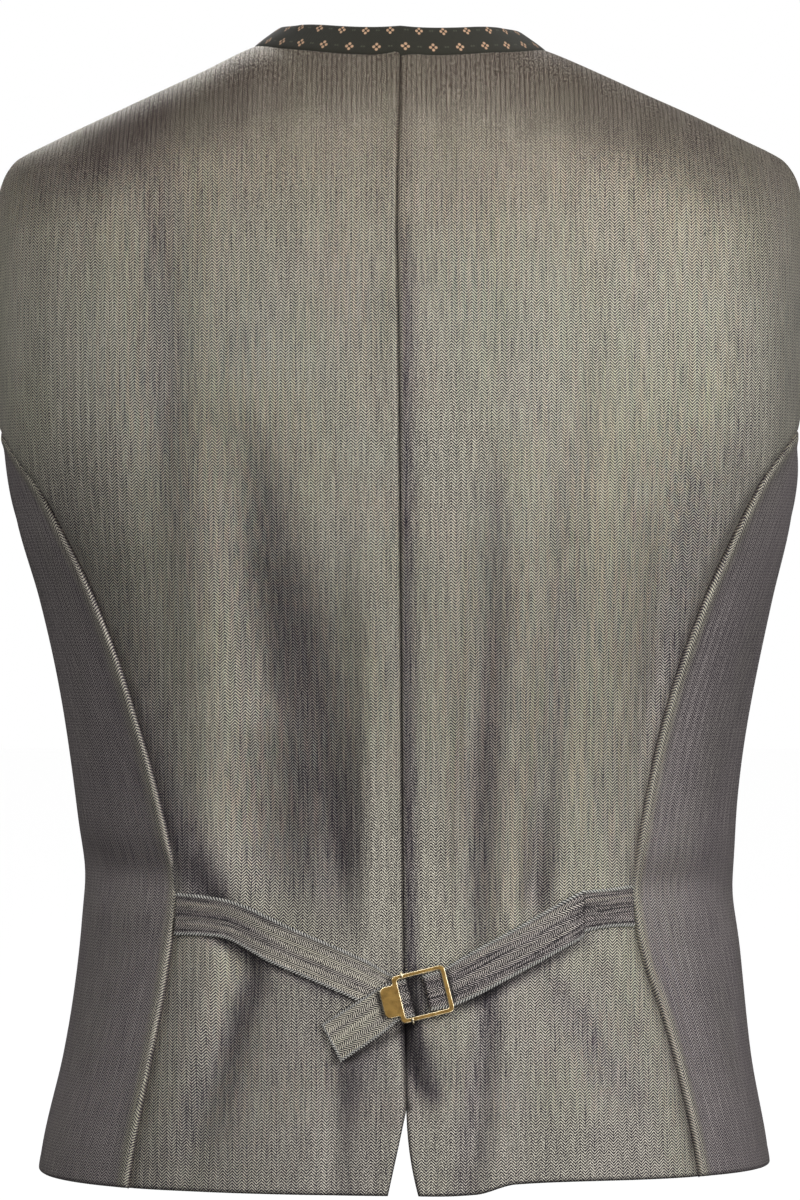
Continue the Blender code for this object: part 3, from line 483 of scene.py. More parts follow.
def cloth_grid(name, points, threads, wall, material, marks=None):
    """Sheet of cloth from a grid of points in millimetres. Its thread lines become a UV map, and each of
    its marks, a number at every point, an attribute."""
    columns, rows = points.shape[0] - 1, points.shape[1] - 1
    sheet = bmesh.new()
    bmesh.ops.create_grid(sheet, x_segments=columns, y_segments=rows, size=0.5)
    threads_layer = sheet.loops.layers.uv.new("threads")
    marks = {sheet.verts.layers.float.new(label): values for label, values in (marks or {}).items()}
    places = {vertex: (round((vertex.co.x + 0.5) * columns), round((vertex.co.y + 0.5) * rows))
              for vertex in sheet.verts}
    for face in sheet.faces:
        for loop in face.loops:
            loop[threads_layer].uv = threads[places[loop.vert]] * MM
        face.smooth = True
    for vertex, place in places.items():
        vertex.co = points[place] * MM
        for layer, values in marks.items():
            vertex[layer] = float(values[place])
    piece = in_scene(name, mesh_of(name, sheet))
    piece.data.materials.append(material)
    shell = piece.modifiers.new("wall", "SOLIDIFY")
    shell.thickness = wall * MM
    shell.offset = -1
    shell.use_even_offset = False
    return piece


def stand_in(piece, name):
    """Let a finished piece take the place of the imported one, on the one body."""
    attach(piece, "root")
    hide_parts(name)


def stand_in_cloth(piece, name):
    """The same for cloth."""
    stand_in(piece, name)


def lay(name, places, relief, creases, material, worn_and_shaded=None, middle_turn=None):
    """Lay a panel on the form: relief beside its four edges, its creases, its marks of painted shade and
    light, and its threads.
    """
    turn, run = places[..., 0], places[..., 1]
    points = form(turn, run)
    folded = creases(points)
    across, up = lengths_along(points, 0), lengths_along(points, 1)
    distances = (across, across[-1:] - across, up, up[:, -1:] - up)
    height = folded
    for profile, distance in zip(relief, distances):
        height = height + rise(profile, distance, points)
    u = arc_at(turn, points[..., 2])
    if middle_turn:
        u = u - arc_at(middle_turn(points[..., 2]), points[..., 2])
    threads = np.stack([u, crest_height(points[..., 0]) - run], axis=-1)
    marks = worn_and_shaded(points, folded, distances) if worn_and_shaded else {}
    placed = points + outward(turn, run) * height[..., None]
    piece = cloth_grid(name, placed, threads, CLOTH_WALL, material, marks)
    stand_in_cloth(piece, name)


def crowded(count, ends):
    """Shares from 0 to 1 in even steps, with extra ones close to the chosen ends."""
    near = np.array([0.2, 0.45, 0.75]) / count
    shares = [np.linspace(0, 1, count + 1)]
    if "start" in ends:
        shares.append(near)
    if "end" in ends:
        shares.append(1 - near)
    return np.sort(np.concatenate(shares))


def wave(x, z, seed):
    """Slight unevenness of hand-pressed cloth, from a few long waves."""
    total = np.zeros_like(x)
    for number in range(6):
        angle = 2.4 * number + seed
        length = 34 + 17 * number
        across = x * math.cos(angle) + z * 0.45 * math.sin(angle)
        total += np.sin(across / length * 2 * math.pi + 1.7 * number)
    return total / 6


BODY_STEPS, ARM_STEPS, HALF_STEPS = 140, 72, 38
BODY_ROWS = crowded(BODY_STEPS, "start")
ARM_ROWS = crowded(ARM_STEPS, "end")
UP = np.concatenate([BODY_ROWS * BODY_STEPS, BODY_STEPS + ARM_ROWS[1:] * ARM_STEPS])
UP = UP / (BODY_STEPS + ARM_STEPS)
ARM_COLUMNS = crowded(HALF_STEPS, "start")
NECK_COLUMNS = crowded(HALF_STEPS, "end")
ACROSS = np.concatenate([ARM_COLUMNS, 1 + NECK_COLUMNS[1:]]) / 2


def armhole_places(start, rows, end, sign, shares=ARM_ROWS):
    inner = with_runs([sign * place.turn for place in rows], [place.z for place in rows])
    return smooth_line(np.concatenate([[start], inner, [end]]), shares)


def shoulder_edge(sign, face):
    return shoulder_place(sign * (SHOULDER_TIP + (NECK_HALF - SHOULDER_TIP) * ARM_COLUMNS), face)


def feed(tree, made, values):
    """Set a node's sockets to numbers, or link them from other sockets."""
    for socket, value in values.items():
        if isinstance(value, bpy.types.NodeSocket):
            tree.links.new(value, made.inputs[socket])
        else:
            made.inputs[socket].default_value = value


def node(tree, kind, values=None, **settings):
    """Add a node with its settings and what its sockets are fed."""
    made = tree.nodes.new(kind)
    for setting, value in settings.items():
        setattr(made, setting, value)
    feed(tree, made, values or {})
    return made


def new_group(name, vectors, numbers, colours, numbers_out):
    """Node group with its named sockets, and the outputs of its input node. It puts out a colour too."""
    group = bpy.data.node_groups.new(name, "ShaderNodeTree")
    for way, kind, labels in (("INPUT", "Vector", vectors), ("INPUT", "Float", numbers),
                              ("INPUT", "Color", colours), ("OUTPUT", "Color", "Color"),
                              ("OUTPUT", "Float", numbers_out)):
        for label in labels.split():
            group.interface.new_socket(label, in_out=way, socket_type="NodeSocket" + kind)
    return group, node(group, "NodeGroupInput").outputs


def calc(tree, operation, first, second=0.0, third=0.0):
    return node(tree, "ShaderNodeMath", {0: first, 1: second, 2: third}, operation=operation).outputs[0]


def sums(tree):
    """The commonest sums, ready for one tree: plus, minus, times, over and times-plus."""
    return [partial(calc, tree, kind) for kind in ("ADD", "SUBTRACT", "MULTIPLY", "DIVIDE", "MULTIPLY_ADD")]


def blend(tree, share, first, second, mode="MIX"):
    """Mix two colours."""
    return node(tree, "ShaderNodeMix", {0: share, 6: first, 7: second}, data_type="RGBA", blend_type=mode,
                clamp_factor=True).outputs[2]


def remap(tree, value, low, high, to_low=0.0, to_high=1.0):
    return node(tree, "ShaderNodeMapRange", {"Value": value, "From Min": low, "From Max": high,
                                             "To Min": to_low, "To Max": to_high},
                interpolation_type="SMOOTHSTEP").outputs[0]


def noise(tree, vector, scale=1.0, detail=2.0, roughness=0.6):
    return node(tree, "ShaderNodeTexNoise", {"Vector": vector, "Scale": scale, "Detail": detail,
                                             "Roughness": roughness}).outputs[0]


def streaks(tree, vector, across, along, detail=2.0):
    """Noise drawn out along the threads: across and along are its spots per metre."""
    stretched = node(tree, "ShaderNodeVectorMath", {0: vector, 1: (across, along, 1)}, operation="MULTIPLY")
    return noise(tree, stretched.outputs[0], detail=detail)


def bump(tree, height, strength, distance):
    return node(tree, "ShaderNodeBump", {"Strength": strength, "Distance": distance,
                                         "Height": height}).outputs[0]


def threads_of(tree):
    return node(tree, "ShaderNodeUVMap", uv_map="threads").outputs[0]


def mark(tree, label):
    """One of the marks that a piece carries at its points."""
    return node(tree, "ShaderNodeAttribute", attribute_name=label).outputs["Fac"]


def herringbone_group():
    """Herringbone weave of dark warp and silky weft on a cloth's own threads in metres, with painted shade
    and shadow.
    """
    group, given = new_group("two-tone herringbone", "Threads", "Column Pitch Crush Fuzz Soil", "Dark Pale",
                             "Metallic Roughness Height")
    plus, minus, times, over, scaled = sums(group)
    crush, fuzz = given["Crush"], given["Fuzz"]
    spots = partial(streaks, group, given["Threads"])
    split = node(group, "ShaderNodeSeparateXYZ", {0: given["Threads"]}).outputs
    drifting = scaled(spots(12, 4, 1.0), 0.0012, split[0])
    zigzag = calc(group, "PINGPONG", drifting, given["Column"])
    line = over(plus(split[1], zigzag), given["Pitch"])
    wavy = calc(group, "SINE", times(line, 2 * math.pi))
    ridge = calc(group, "ABSOLUTE", minus(over(zigzag, given["Column"]), 0.5))
    fine, nap, patchy = spots(1900, 900), spots(1700, 480), spots(60, 9)
    slub, fleck, shot = spots(1300, 55, 1.0), spots(1150, 190, 1.0), spots(26, 11, 1.0)
    woven = scaled(wavy, scaled(fuzz, -0.62, 0.82), 0.50)
    woven = minus(woven, remap(group, ridge, 0.25, 0.5, 0.0, 0.22))
    woven = plus(woven, scaled(fine, 1.3, -0.65))
    woven = plus(woven, times(minus(slub, 0.5), scaled(fuzz, -1.2, 1.5)))
    woven = plus(woven, times(minus(nap, 0.54), times(fuzz, 1.7)))
    woven = plus(woven, times(minus(patchy, 0.5), scaled(fuzz, -0.45, 0.6)))
    woven = minus(woven, remap(group, fleck, 0.66, 0.78, 0.0, 0.4))
    # painted shade: the pale weft gives way to the dark warp, and further down the weft is tinted violet
    woven = minus(woven, times(crush, 0.52))
    pale = remap(group, woven, 0.32, 0.645)
    greener = remap(group, shot, 0.42, 0.68, 0.0, 0.5)
    weft = blend(group, greener, given["Pale"], (0.95, 0.98, 0.91, 1), "MULTIPLY")
    weft = blend(group, crush, weft, (0.90, 0.87, 0.98, 1), "MULTIPLY")
    weft = blend(group, fuzz, weft, (0.97, 0.92, 0.90, 1), "MULTIPLY")
    warp = blend(group, fuzz, given["Dark"], (0.095, 0.062, 0.046, 1))
    cloth = blend(group, pale, warp, weft)
    # painted shadow: the cloth is darkened towards near black where it is marked
    node(group, "NodeGroupOutput", {
        "Color": blend(group, given["Soil"], cloth, (0.16, 0.15, 0.15, 1), "MULTIPLY"),
        "Metallic": remap(group, pale, 0.0, 0.5), "Roughness": scaled(pale, -0.06, 0.66),
        "Height": scaled(slub, 0.8, scaled(wavy, 0.5, 0.5))})
    return group


HERRINGBONE = herringbone_group()


def shaded(name):
    """New material with its tree and its shader."""
    material = bpy.data.materials.new(name)
    material.use_nodes = True
    return material, material.node_tree, material.node_tree.nodes["Principled BSDF"]


def weave_in(tree, threads, column, pitch, dark, pale):
    """Place the weave in a material, on the cloth's own threads and marks."""
    return node(tree, "ShaderNodeGroup", {
        "Threads": threads, "Crush": mark(tree, "crush"), "Soil": mark(tree, "soil"),
        "Column": column, "Pitch": pitch, "Dark": dark, "Pale": pale}, node_tree=HERRINGBONE)


def herringbone_cloth(name, dark, pale):
    material, tree, shader = shaded(name)
    weave = weave_in(tree, threads_of(tree), 0.0025, 0.0015, dark, pale)
    feed(tree, shader, {
        "Base Color": weave.outputs["Color"], "Metallic": weave.outputs["Metallic"],
        "Roughness": weave.outputs["Roughness"], "Normal": bump(tree, weave.outputs["Height"], 0.6, 0.00025),
        "Sheen Weight": 0.05, "Sheen Roughness": 0.5, "Sheen Tint": (0.60, 0.52, 0.62, 1)})
    return material, tree, weave


back_cloth, back_tree, back_weave = herringbone_cloth("herringbone_back", (0.037, 0.028, 0.043, 1),
                                                      (0.925, 0.882, 0.75, 1))
feed(back_tree, back_weave, {"Fuzz": mark(back_tree, "fuzz")})


def back_creases(points):
    return 0.35 * wave(points[..., 0], points[..., 2], 1.0) - depth_of(FOLDS, points)


def back_shading_and_fuzz(points, folded, distances):
    """Painted shade: less pale weft on the walls that face the wearer's left, away from the key light, in the
    troughs and in the table's places, where a negative depth paints light. Painted shadow under the straps,
    the tail and the buckle, painted shade along the centre seam, and fuzzy cloth over the shoulders."""
    step = np.linalg.norm(np.gradient(points, axis=0), axis=-1)
    slope = np.gradient(folded, axis=0) / np.maximum(step, 0.2)
    on_walls = np.clip((slope - 0.1) * 0.9, 0, 0.32)
    in_troughs = np.clip(-folded / 55, 0, 0.15)
    on_left = points[0, 0, 0] > 0
    from_seam = np.maximum(distances[1] if on_left else distances[0] - UNDERLAP, 0)
    seam_shade = (SEAM_SHADE_LEFT if on_left else SEAM_SHADE_RIGHT) * np.exp(-(from_seam / SEAM_SHADE_WIDTH) ** 2)
    z = points[..., 2]
    return {"crush": np.clip(on_walls + in_troughs + depth_of(PAINTED_SHADING, points), -0.3, 1.1),
            "soil": np.clip(depth_of(PAINTED_SHADOWS, points) + seam_shade * (z >= VENT_HEAD), 0, 1),
            "fuzz": np.clip((z - FUZZ_FROM) / (FUZZ_FULL - FUZZ_FROM), 0, 1)}


for sign, side in SIDES.items():
    seam = shifted(princess_edge(sign, BODY_ROWS), sign * UNDERLAP)
    shoulder = shoulder_edge(sign, "back")
    outer = np.concatenate([seam[:-1], armhole_places(seam[-1], ARMHOLE_BACK, shoulder[0], sign)])
    centre = centre_back_edge(sign, UP)
    top = np.concatenate([shoulder[:-1], back_neck_places(math.pi / 2 * (1 - NECK_COLUMNS), sign)])
    top[-1] = centre[-1]
    bottom = hem_edge(outer[0], centre[0], ACROSS)
    side_relief = sewn_down(edge_up_to(*PRINCESS_FADE, GROOVE, TURNED), back_creases, HELD_DOWN)
    centre_relief = edge_up_to(*VENT_FADE, TURNED, LIP if sign > 0 else TROUGH)
    places, relief = mirrored(sign, wide_patch, outer, centre, bottom, top, ACROSS, UP,
                              (side_relief, centre_relief, TURNED, SHOULDER))
    lay(f"back_{side}", places, relief, back_creases, back_cloth, back_shading_and_fuzz)

# ---------------------------------------------------------------- the two sides
# Narrow panels of the same cloth from the princess seams round to the side seams. The seam allowances are
# pressed towards the sides, so each side panel stands up in a soft welt beside its princess seam. Their copy
# of the cloth has a duller weft as painted shade, and a paler weft on the welt as a painted highlight.
SIDE_SEAM_TURN = 104
ARMHOLE_UNDER = table("turn z", (96, -247), (90, -237), (85.5, -219))
ARMHOLE_UNDER_END = -243
WAIST_LEFT, WAIST_RIGHT = -424, -434
PINCH_DEPTH, PINCH_REACH = 2.6, 16
DRAG_DEPTH, DRAG_REACH = 0.7, 22
SEAM = relief_table((0, -0.9), (0.5, -0.45), (1.3, -0.1), (3, 0), (5, 0))
WELT = relief_table((0, -1.0), (0.4, 0.1), (1.1, 0.95), (2.1, 1.35), (3.6, 1.25), (5.6, 0.7), (8, 0.2),
                    (12, 0))
# painted highlight on the welt: its edge, width and fade; painted shade: the side panels' weft is duller than
# the backs'
WELT_HIGHLIGHT_EDGE, WELT_HIGHLIGHT_WIDTH, WELT_HIGHLIGHT_FADE = 0.8, 7.6, 3
SIDE_SHADED_PALE = (0.67, 0.61, 0.59, 1)
WELT_HIGHLIGHT_PALE = (0.84, 0.795, 0.67, 1)
side_shaded_cloth, side_tree, side_weave = herringbone_cloth("herringbone_side_shaded", (0.064, 0.050, 0.066, 1), SIDE_SHADED_PALE)
feed(side_tree, side_weave, {"Pale": blend(side_tree, mark(side_tree, "welt"), SIDE_SHADED_PALE, WELT_HIGHLIGHT_PALE)})


def side_seam(sign, shares):
    turn = sign * SIDE_SEAM_TURN
    bottom = read(HEM, "z", turn)
    z = bottom + (ARMHOLE_UNDER_END - bottom) * shares
    return with_runs(np.full_like(z, turn), z)


def waist_creases(points):
    """The cloth breaks in at the waist and drags in short level creases from the strap's end."""
    x, y, z = points[..., 0], points[..., 1], points[..., 2]
    below = z - np.where(x > 0, WAIST_LEFT, WAIST_RIGHT)
    pinch = np.exp(-(below / PINCH_REACH) ** 2) * np.clip((np.abs(y) + 30) / 60, 0.3, 1)
    drag = np.sin((z + 0.25 * y) / 7) * np.exp(-(below / DRAG_REACH) ** 2) * np.clip(y / 60, 0, 1)
    return DRAG_DEPTH * drag - PINCH_DEPTH * pinch + 0.5 * wave(x + y, z, 2.0)


def side_welt_highlight(points, folded, distances):
    """Painted highlight on the welt beside the princess seam, at the grid's end on the left and its start on
    the right.
    """
    from_seam = distances[1] if points[0, 0, 0] > 0 else distances[0]
    inner = np.clip((WELT_HIGHLIGHT_WIDTH - from_seam) / WELT_HIGHLIGHT_FADE, 0, 1)
    return {"welt": np.clip(from_seam / WELT_HIGHLIGHT_EDGE, 0, 1) * inner}


def middle_of_side(sign, z):
    return sign * (read(PRINCESS, SIDES[sign], z) + SIDE_SEAM_TURN) / 2


for sign, side in SIDES.items():
    inner = shifted(princess_edge(sign, BODY_ROWS), sign * SEAM_GAP / 2)
    outer = shifted(side_seam(sign, BODY_ROWS), -sign * SEAM_GAP / 2)
    across = crowded(36, "start end")
    armhole = armhole_places(outer[-1], ARMHOLE_UNDER, inner[-1], sign, across)
    hem = hem_edge(outer[0], inner[0], across)
    places, relief = mirrored(sign, patch, outer, inner, hem, armhole, across, BODY_ROWS,
                              (SEAM, WELT, TURNED, TURNED))
    lay(f"side_{side}", places, relief, waist_creases, side_shaded_cloth, side_welt_highlight,
        partial(middle_of_side, sign))

# ---------------------------------------------------------------- the two fronts
# Dark olive twill, printed with small four-dot flowers in rows that step by half a repeat. The left front
# laps over the right one and both curve away below the last button.
OVERLAP = 12
LAP_LIFT = 2.2
LAP_FULL = 26
LAP_END = 56
NECK_FRONT_DROP = 96
SIDE_SEAM_FADE = (-255, -240)
BUTTON_HEIGHTS = np.linspace(-115, -495, 7)
BUTTON_PULL, PULL_ALONG, PULL_ACROSS, PULL_NEAR = 0.8, 13, 34, 12
CUTAWAY_START = -505
CUTAWAY = table("x z", (47, -588), (25, -575), (7, -554), (-6, -530), (-OVERLAP, CUTAWAY_START))
ARMHOLE_FRONT = table(
    "turn z",
    (112, -226), (119, -198), (123.5, -165), (124.5, -135), (121, -104), (112, -79),
)
UNDER = relief_table((0, -1.7), (1.4, -1.7), (2.0, -0.6), (2.8, -0.15), (5, 0), (6, 0))


def front_edge(sign, shares):
    """Front edge from the point of the hem up to the neck."""
    low = smooth_line([(sign * point.x, point.z) for point in CUTAWAY], np.linspace(0, 1, 40))
    line = np.concatenate([low, [(-sign * OVERLAP, -NECK_FRONT_DROP)]])
    length = travelled(line)
    x = np.interp(shares * length[-1], length, line[:, 0])
    z = np.interp(shares * length[-1], length, line[:, 1])
    turn = turn_at(x, z, "front")
    return with_runs(np.where(turn * sign < 0, turn + sign * 360, turn), z)


def front_neck_places(angle, sign):
    """Places on the front of the neck opening, an oval seen from the front."""
    x = sign * NECK_HALF * np.cos(angle)
    top = crest_height(sign * NECK_HALF)
    z = top - (NECK_FRONT_DROP + top) * np.sin(angle)
    turn = turn_at(x, z, "front")
    return np.stack([turn, np.maximum(run_of(turn, z), shoulder_place(x, "front")[..., 1])], axis=-1)


def lap_lift(x):
    """The left front rises over the right one towards its edge."""
    return LAP_LIFT * eased(np.clip((LAP_END - x) / (LAP_END - LAP_FULL), 0, 1))


def front_creases(points):
    """Both fronts hang in long soft waves and pull in a little at the buttons."""
    x, z = points[..., 0], points[..., 2]
    beside = np.exp(-(np.abs(x) / PULL_ACROSS) ** 2) * (1 - np.exp(-(x / PULL_NEAR) ** 2))
    pull = sum(np.exp(-((z - height) / PULL_ALONG) ** 2) for height in BUTTON_HEIGHTS) * beside
    return 0.6 * wave(x, z, 3.0) - BUTTON_PULL * pull


def lapped_creases(points):
    return lap_lift(points[..., 0]) + front_creases(points)


def distance(tree, vector, x, y):
    return node(tree, "ShaderNodeVectorMath", {0: vector, 1: (x, y, 0)},
                operation="DISTANCE").outputs["Value"]


def dots(tree, vector, aside, radius):
    """Mask of round dots at four sides of a point."""
    mask = None
    for x, y in ((aside, 0), (-aside, 0), (0, aside), (0, -aside)):
        dot = remap(tree, distance(tree, vector, x, y), radius * 0.75, radius * 1.15, 1.0, 0.0)
        mask = dot if mask is None else calc(tree, "MAXIMUM", mask, dot)
    return mask


def flower_group():
    """Rows of four-dot flowers that step by half a repeat, with small ticks between them."""
    group, given = new_group("four-dot flowers", "Threads", "Repeat Row", "Twill Flower Tick",
                             "Roughness Height")
    plus, minus, times, over, scaled = sums(group)
    fraction = partial(calc, group, "FRACT")
    u, v, _ = node(group, "ShaderNodeSeparateXYZ", {0: given["Threads"]}).outputs
    row = calc(group, "FLOOR", over(v, given["Row"]))
    stepped = times(calc(group, "FLOORED_MODULO", row, 2.0), 0.5)
    across = plus(over(u, given["Repeat"]), stepped)
    x = times(minus(fraction(across), 0.5), given["Repeat"])
    y = minus(v, times(plus(row, 0.5), given["Row"]))
    place = node(group, "ShaderNodeCombineXYZ", {0: x, 1: y}).outputs[0]
    flower = dots(group, place, 0.00148, 0.00088)
    heart = remap(group, distance(group, place, 0, 0), 0.0005, 0.0022, 1.0, 0.0)
    aside = calc(group, "ABSOLUTE", times(minus(fraction(plus(across, 0.5)), 0.5), given["Repeat"]))
    beside = node(group, "ShaderNodeCombineXYZ", {0: aside, 1: plus(y, 0.0006)}).outputs[0]
    tick = remap(group, distance(group, beside, 0.0007, 0.0008), 0.00025, 0.0006, 0.75, 0.0)
    line = calc(group, "SINE", times(plus(u, v), 2 * math.pi / 0.0011))
    grain = streaks(group, given["Threads"], 900, 500)
    ground = plus(scaled(line, 0.14, 0.72), scaled(grain, 0.9, -0.2))
    shade = node(group, "ShaderNodeCombineColor", {0: ground, 1: ground, 2: ground}).outputs[0]
    twill = blend(group, 1.0, given["Twill"], shade, "MULTIPLY")
    twill = blend(group, times(heart, 0.55), twill, (0.012, 0.008, 0.006, 1))
    twill = blend(group, tick, twill, given["Tick"])
    mottled = times(flower, scaled(grain, 0.5, 0.65))
    node(group, "NodeGroupOutput", {
        "Color": blend(group, mottled, twill, given["Flower"]), "Roughness": scaled(grain, 0.2, 0.72),
        "Height": plus(scaled(line, 0.5, 0.5), flower)})
    return group


FLOWERS = flower_group()


def printed_cloth(name):
    material, tree, shader = shaded(name)
    printed = node(tree, "ShaderNodeGroup", {
        "Threads": threads_of(tree), "Repeat": 0.0148, "Row": 0.0098, "Twill": (0.036, 0.034, 0.021, 1),
        "Flower": (0.95, 0.60, 0.37, 1), "Tick": (0.16, 0.17, 0.11, 1)}, node_tree=FLOWERS).outputs
    feed(tree, shader, {
        "Base Color": printed["Color"], "Roughness": printed["Roughness"],
        "Normal": bump(tree, printed["Height"], 0.4, 0.0002), "Sheen Weight": 0.2, "Sheen Roughness": 0.6})
    return material


front_cloth = printed_cloth("printed_front")
for sign, side in SIDES.items():
    seam = shifted(side_seam(sign, BODY_ROWS), -sign * UNDERLAP)
    shoulder = shoulder_edge(sign, "front")
    outer = np.concatenate([seam[:-1], armhole_places(seam[-1], ARMHOLE_FRONT, shoulder[0], sign)])
    inner = front_edge(sign, UP)
    neck = front_neck_places(math.pi / 2 * NECK_COLUMNS[-2:0:-1], sign)
    top = np.concatenate([inner[-1:], neck, shoulder[::-1]])
    outwards = 1 - ACROSS[::-1]
    bottom = hem_edge(inner[0], outer[0], outwards)
    places, relief = mirrored(sign, wide_patch, inner, outer, bottom, top, outwards, UP,
                              (TURNED, edge_up_to(*SIDE_SEAM_FADE, UNDER, TURNED), TURNED, SHOULDER))
    lay(f"front_{side}", places, relief, lapped_creases if sign > 0 else front_creases, front_cloth)

# ---------------------------------------------------------------- the collar band
# A standing band in the fronts' printed twill, folded over at its top edge and sewn into the neck seam all
# the way round to the two ends at the throat.
COLLAR_HEIGHT = 16.6
COLLAR_GAP = 1.2
COLLAR_SEAM_GAP = 0.05
COLLAR_WALL = 0.8
BAND_STEPS = 64
END_ROUNDING = 3.5
END_PINCH = 0.82
FIRST_FLOWER, FIRST_ROW = 4.8, -1.3
COLLAR_TURN = table("share up", (0, 3), (0.5, 3), (0.75, 7), (1, 13), (1.4, 30), (2, 30))
BAND = table(
    "height depth",
    (-2.0, 1.3), (-0.8, 1.1), (0.2, 0.45), (0.7, 0.1), (1.4, 0.0), (3, -0.12), (6, -0.2), (11, -0.12),
    (14.6, 0.05), (15.7, 0.22), (16.35, 0.5), (16.6, 1.0), (16.4, 1.5), (15.8, 1.8), (12, 1.95), (6, 2.0),
    (-1.0, 2.2),
)


def half_collar(sign):
    """Seam points, outward directions and leans of one half, from the throat to the centre back."""
    first = math.asin(COLLAR_GAP / NECK_HALF)
    front = front_neck_places(np.linspace(math.pi / 2 - first, 0, BAND_STEPS + 1), sign)
    back = back_neck_places(np.linspace(math.pi / 2, 0, BAND_STEPS + 1), sign)[1:]
    places = np.concatenate([front, back])
    points = form(places[:, 0], places[:, 1])
    out = outward(places[:, 0], places[:, 1])
    if sign > 0:
        points = points + out * (lap_lift(points[:, 0]) * (points[:, 1] < 0))[:, None]
    return points, out, read(COLLAR_TURN, "up", np.arange(len(places)) / BAND_STEPS)


halves = zip(half_collar(1), half_collar(-1))
seam, out, lean = (np.concatenate([left[:-1], right[::-1]]) for left, right in halves)
for _ in range(3):
    out[1:-1] = unit(out[:-2] + 2 * out[1:-1] + out[2:])
along = unit(np.gradient(seam, axis=0))
flat_up = unit(np.cross(out, along))
up = flat_up * np.cos(np.radians(lean))[:, None] + out * np.sin(np.radians(lean))[:, None]
inward = -unit(np.cross(along, up))
profile = smooth_line(BAND, np.linspace(0, 1, 40))
band_length = travelled(seam)
from_end = np.minimum(band_length, band_length[-1] - band_length)
corner = np.clip(END_ROUNDING - from_end, 0, END_ROUNDING)
shorter = 1 - (END_ROUNDING - np.sqrt(END_ROUNDING ** 2 - corner ** 2)) / COLLAR_HEIGHT
pinched = END_PINCH + (1 - END_PINCH) * np.clip(from_end / 2, 0, 1)
heights = COLLAR_SEAM_GAP + profile[None, :, 0] * shorter[:, None]
depths = 1 + (profile[None, :, 1] - 1) * pinched[:, None]
points = seam[:, None] + up[:, None] * heights[..., None] + inward[:, None] * depths[..., None]
centre = band_length[len(seam) // 2]
threads = np.stack(np.broadcast_arrays((band_length - centre)[:, None] + FIRST_FLOWER,
                                       travelled(profile)[None, :] + FIRST_ROW), axis=-1)
collar = cloth_grid("collar", points, threads, COLLAR_WALL, printed_cloth("printed_collar"))
stand_in_cloth(collar, "collar")

# ---------------------------------------------------------------- the two straps
# Two straps of the backs' cloth with overcast edges, sewn into the princess seams at the waist. The left
# one goes under the buckle's sliding bar and comes back over it as a free tail with a raw end; the right
# one is looped round the fixed bar and sewn down to itself.
GAP = 0.3
STRAP_CLOTH = 1.0
STRAP_GRID = 18
WRAP_SLACK = 0.1
WRAP_STEPS = 9
STRAP_IN_BUCKLE = 9.4
RETURN_IN_BUCKLE = 8.9
BUCKLE_X, BUCKLE_Z, BUCKLE_TILT, BUCKLE_LIFT = -11.3, -481.4, math.radians(14), 5.1
BAR_X, BAR_LIFT, BAR_RADIUS = -8.0, 2.3, 0.5
FIXED_BAR_X, FIXED_BAR_LIFT, FIXED_BAR_RADIUS = 3.6, 3.0, 0.6
LEFT_STRAP = table(
    "x z lift slant half",
    (112.6, -442.2, 1.0, -2, 10.4), (101, -442.6, 1.0, -3, 9.9), (88, -444.0, 1.0, -7, 9.4),
    (78.5, -447.4, 1.2, -15, 9.5), (69, -452.2, 1.5, -22, 9.8), (59, -457.2, 1.6, -25, 10),
    (34.4, -467.6, 1.4, -24, 10), (20, -474, 1.2, -20, 10), (9, -479.4, 1.0, -4, 9.8),
)
LEFT_TAIL = table(
    "x z lift slant half",
    (5.5, -486, 3.5, 20, 9.6), (13, -491.5, 2.9, 29, 10), (24, -498.8, 2.7, 31, 10.2),
    (34.4, -505.5, 2.3, 28, 10.3),
)
RIGHT_RETURN = table("x z lift slant half", (-37.5, -471.3, 1.0, 27, 9.4), (-28, -476.4, 1.1, 22, 9.2))
RIGHT_STRAP = table(
    "x z lift slant half",
    (-23.6, -478.3, 3.5, 15, 9.5), (-35, -472.4, 2.9, 25, 10), (-47.5, -465.6, 2.6, 28, 10.2),
    (-62, -457.9, 2.4, 28, 10.2), (-79.2, -448.3, 2.5, 24, 10.4), (-86, -444.5, 2.8, 12, 10.9),
    (-91, -441.6, 2.9, 0, 11.4), (-92.6, -440.3, 1.3, 0, 10.2), (-105, -438.8, 1.0, 2, 9.5),
    (-117.2, -437.9, 1.0, 3, 10.2),
)

# Painted shade on the straps by the share of their length: most at the roots and where they bend round the
# bars.
LEFT_STRAP_SHADE = table(
    "share crush",
    (0, 0.8), (0.2, 0.6), (0.35, 0.25), (0.68, 0.25), (0.72, 1.2), (0.77, 1.1), (0.80, 0.15), (1, 0.0),
)
RIGHT_STRAP_SHADE = table(
    "share crush",
    (0, 1.1), (0.14, 1.2), (0.17, 0.9), (0.55, 0.8), (0.74, 0.7), (0.78, 1.1), (1, 1.1),
)

# Painted shadow on the straps along the buckle's edges: how far along the buckle, and how far to each side of
# its middle.
BUCKLE_EDGE_SHADOWS = table("along reach", (-21.7, 7.5), (-10.2, 11), (10.4, 11), (14.6, 13))
BUCKLE_SHADOW_WIDTH = 1.1
BUCKLE_SHADOW_DARK = 0.97


def through(rows, between):
    """Stations on a smooth curve through the given ones."""
    last = len(rows) - 1
    return on_curve(range(len(rows)), rows, np.linspace(0, last, last * between + 1))


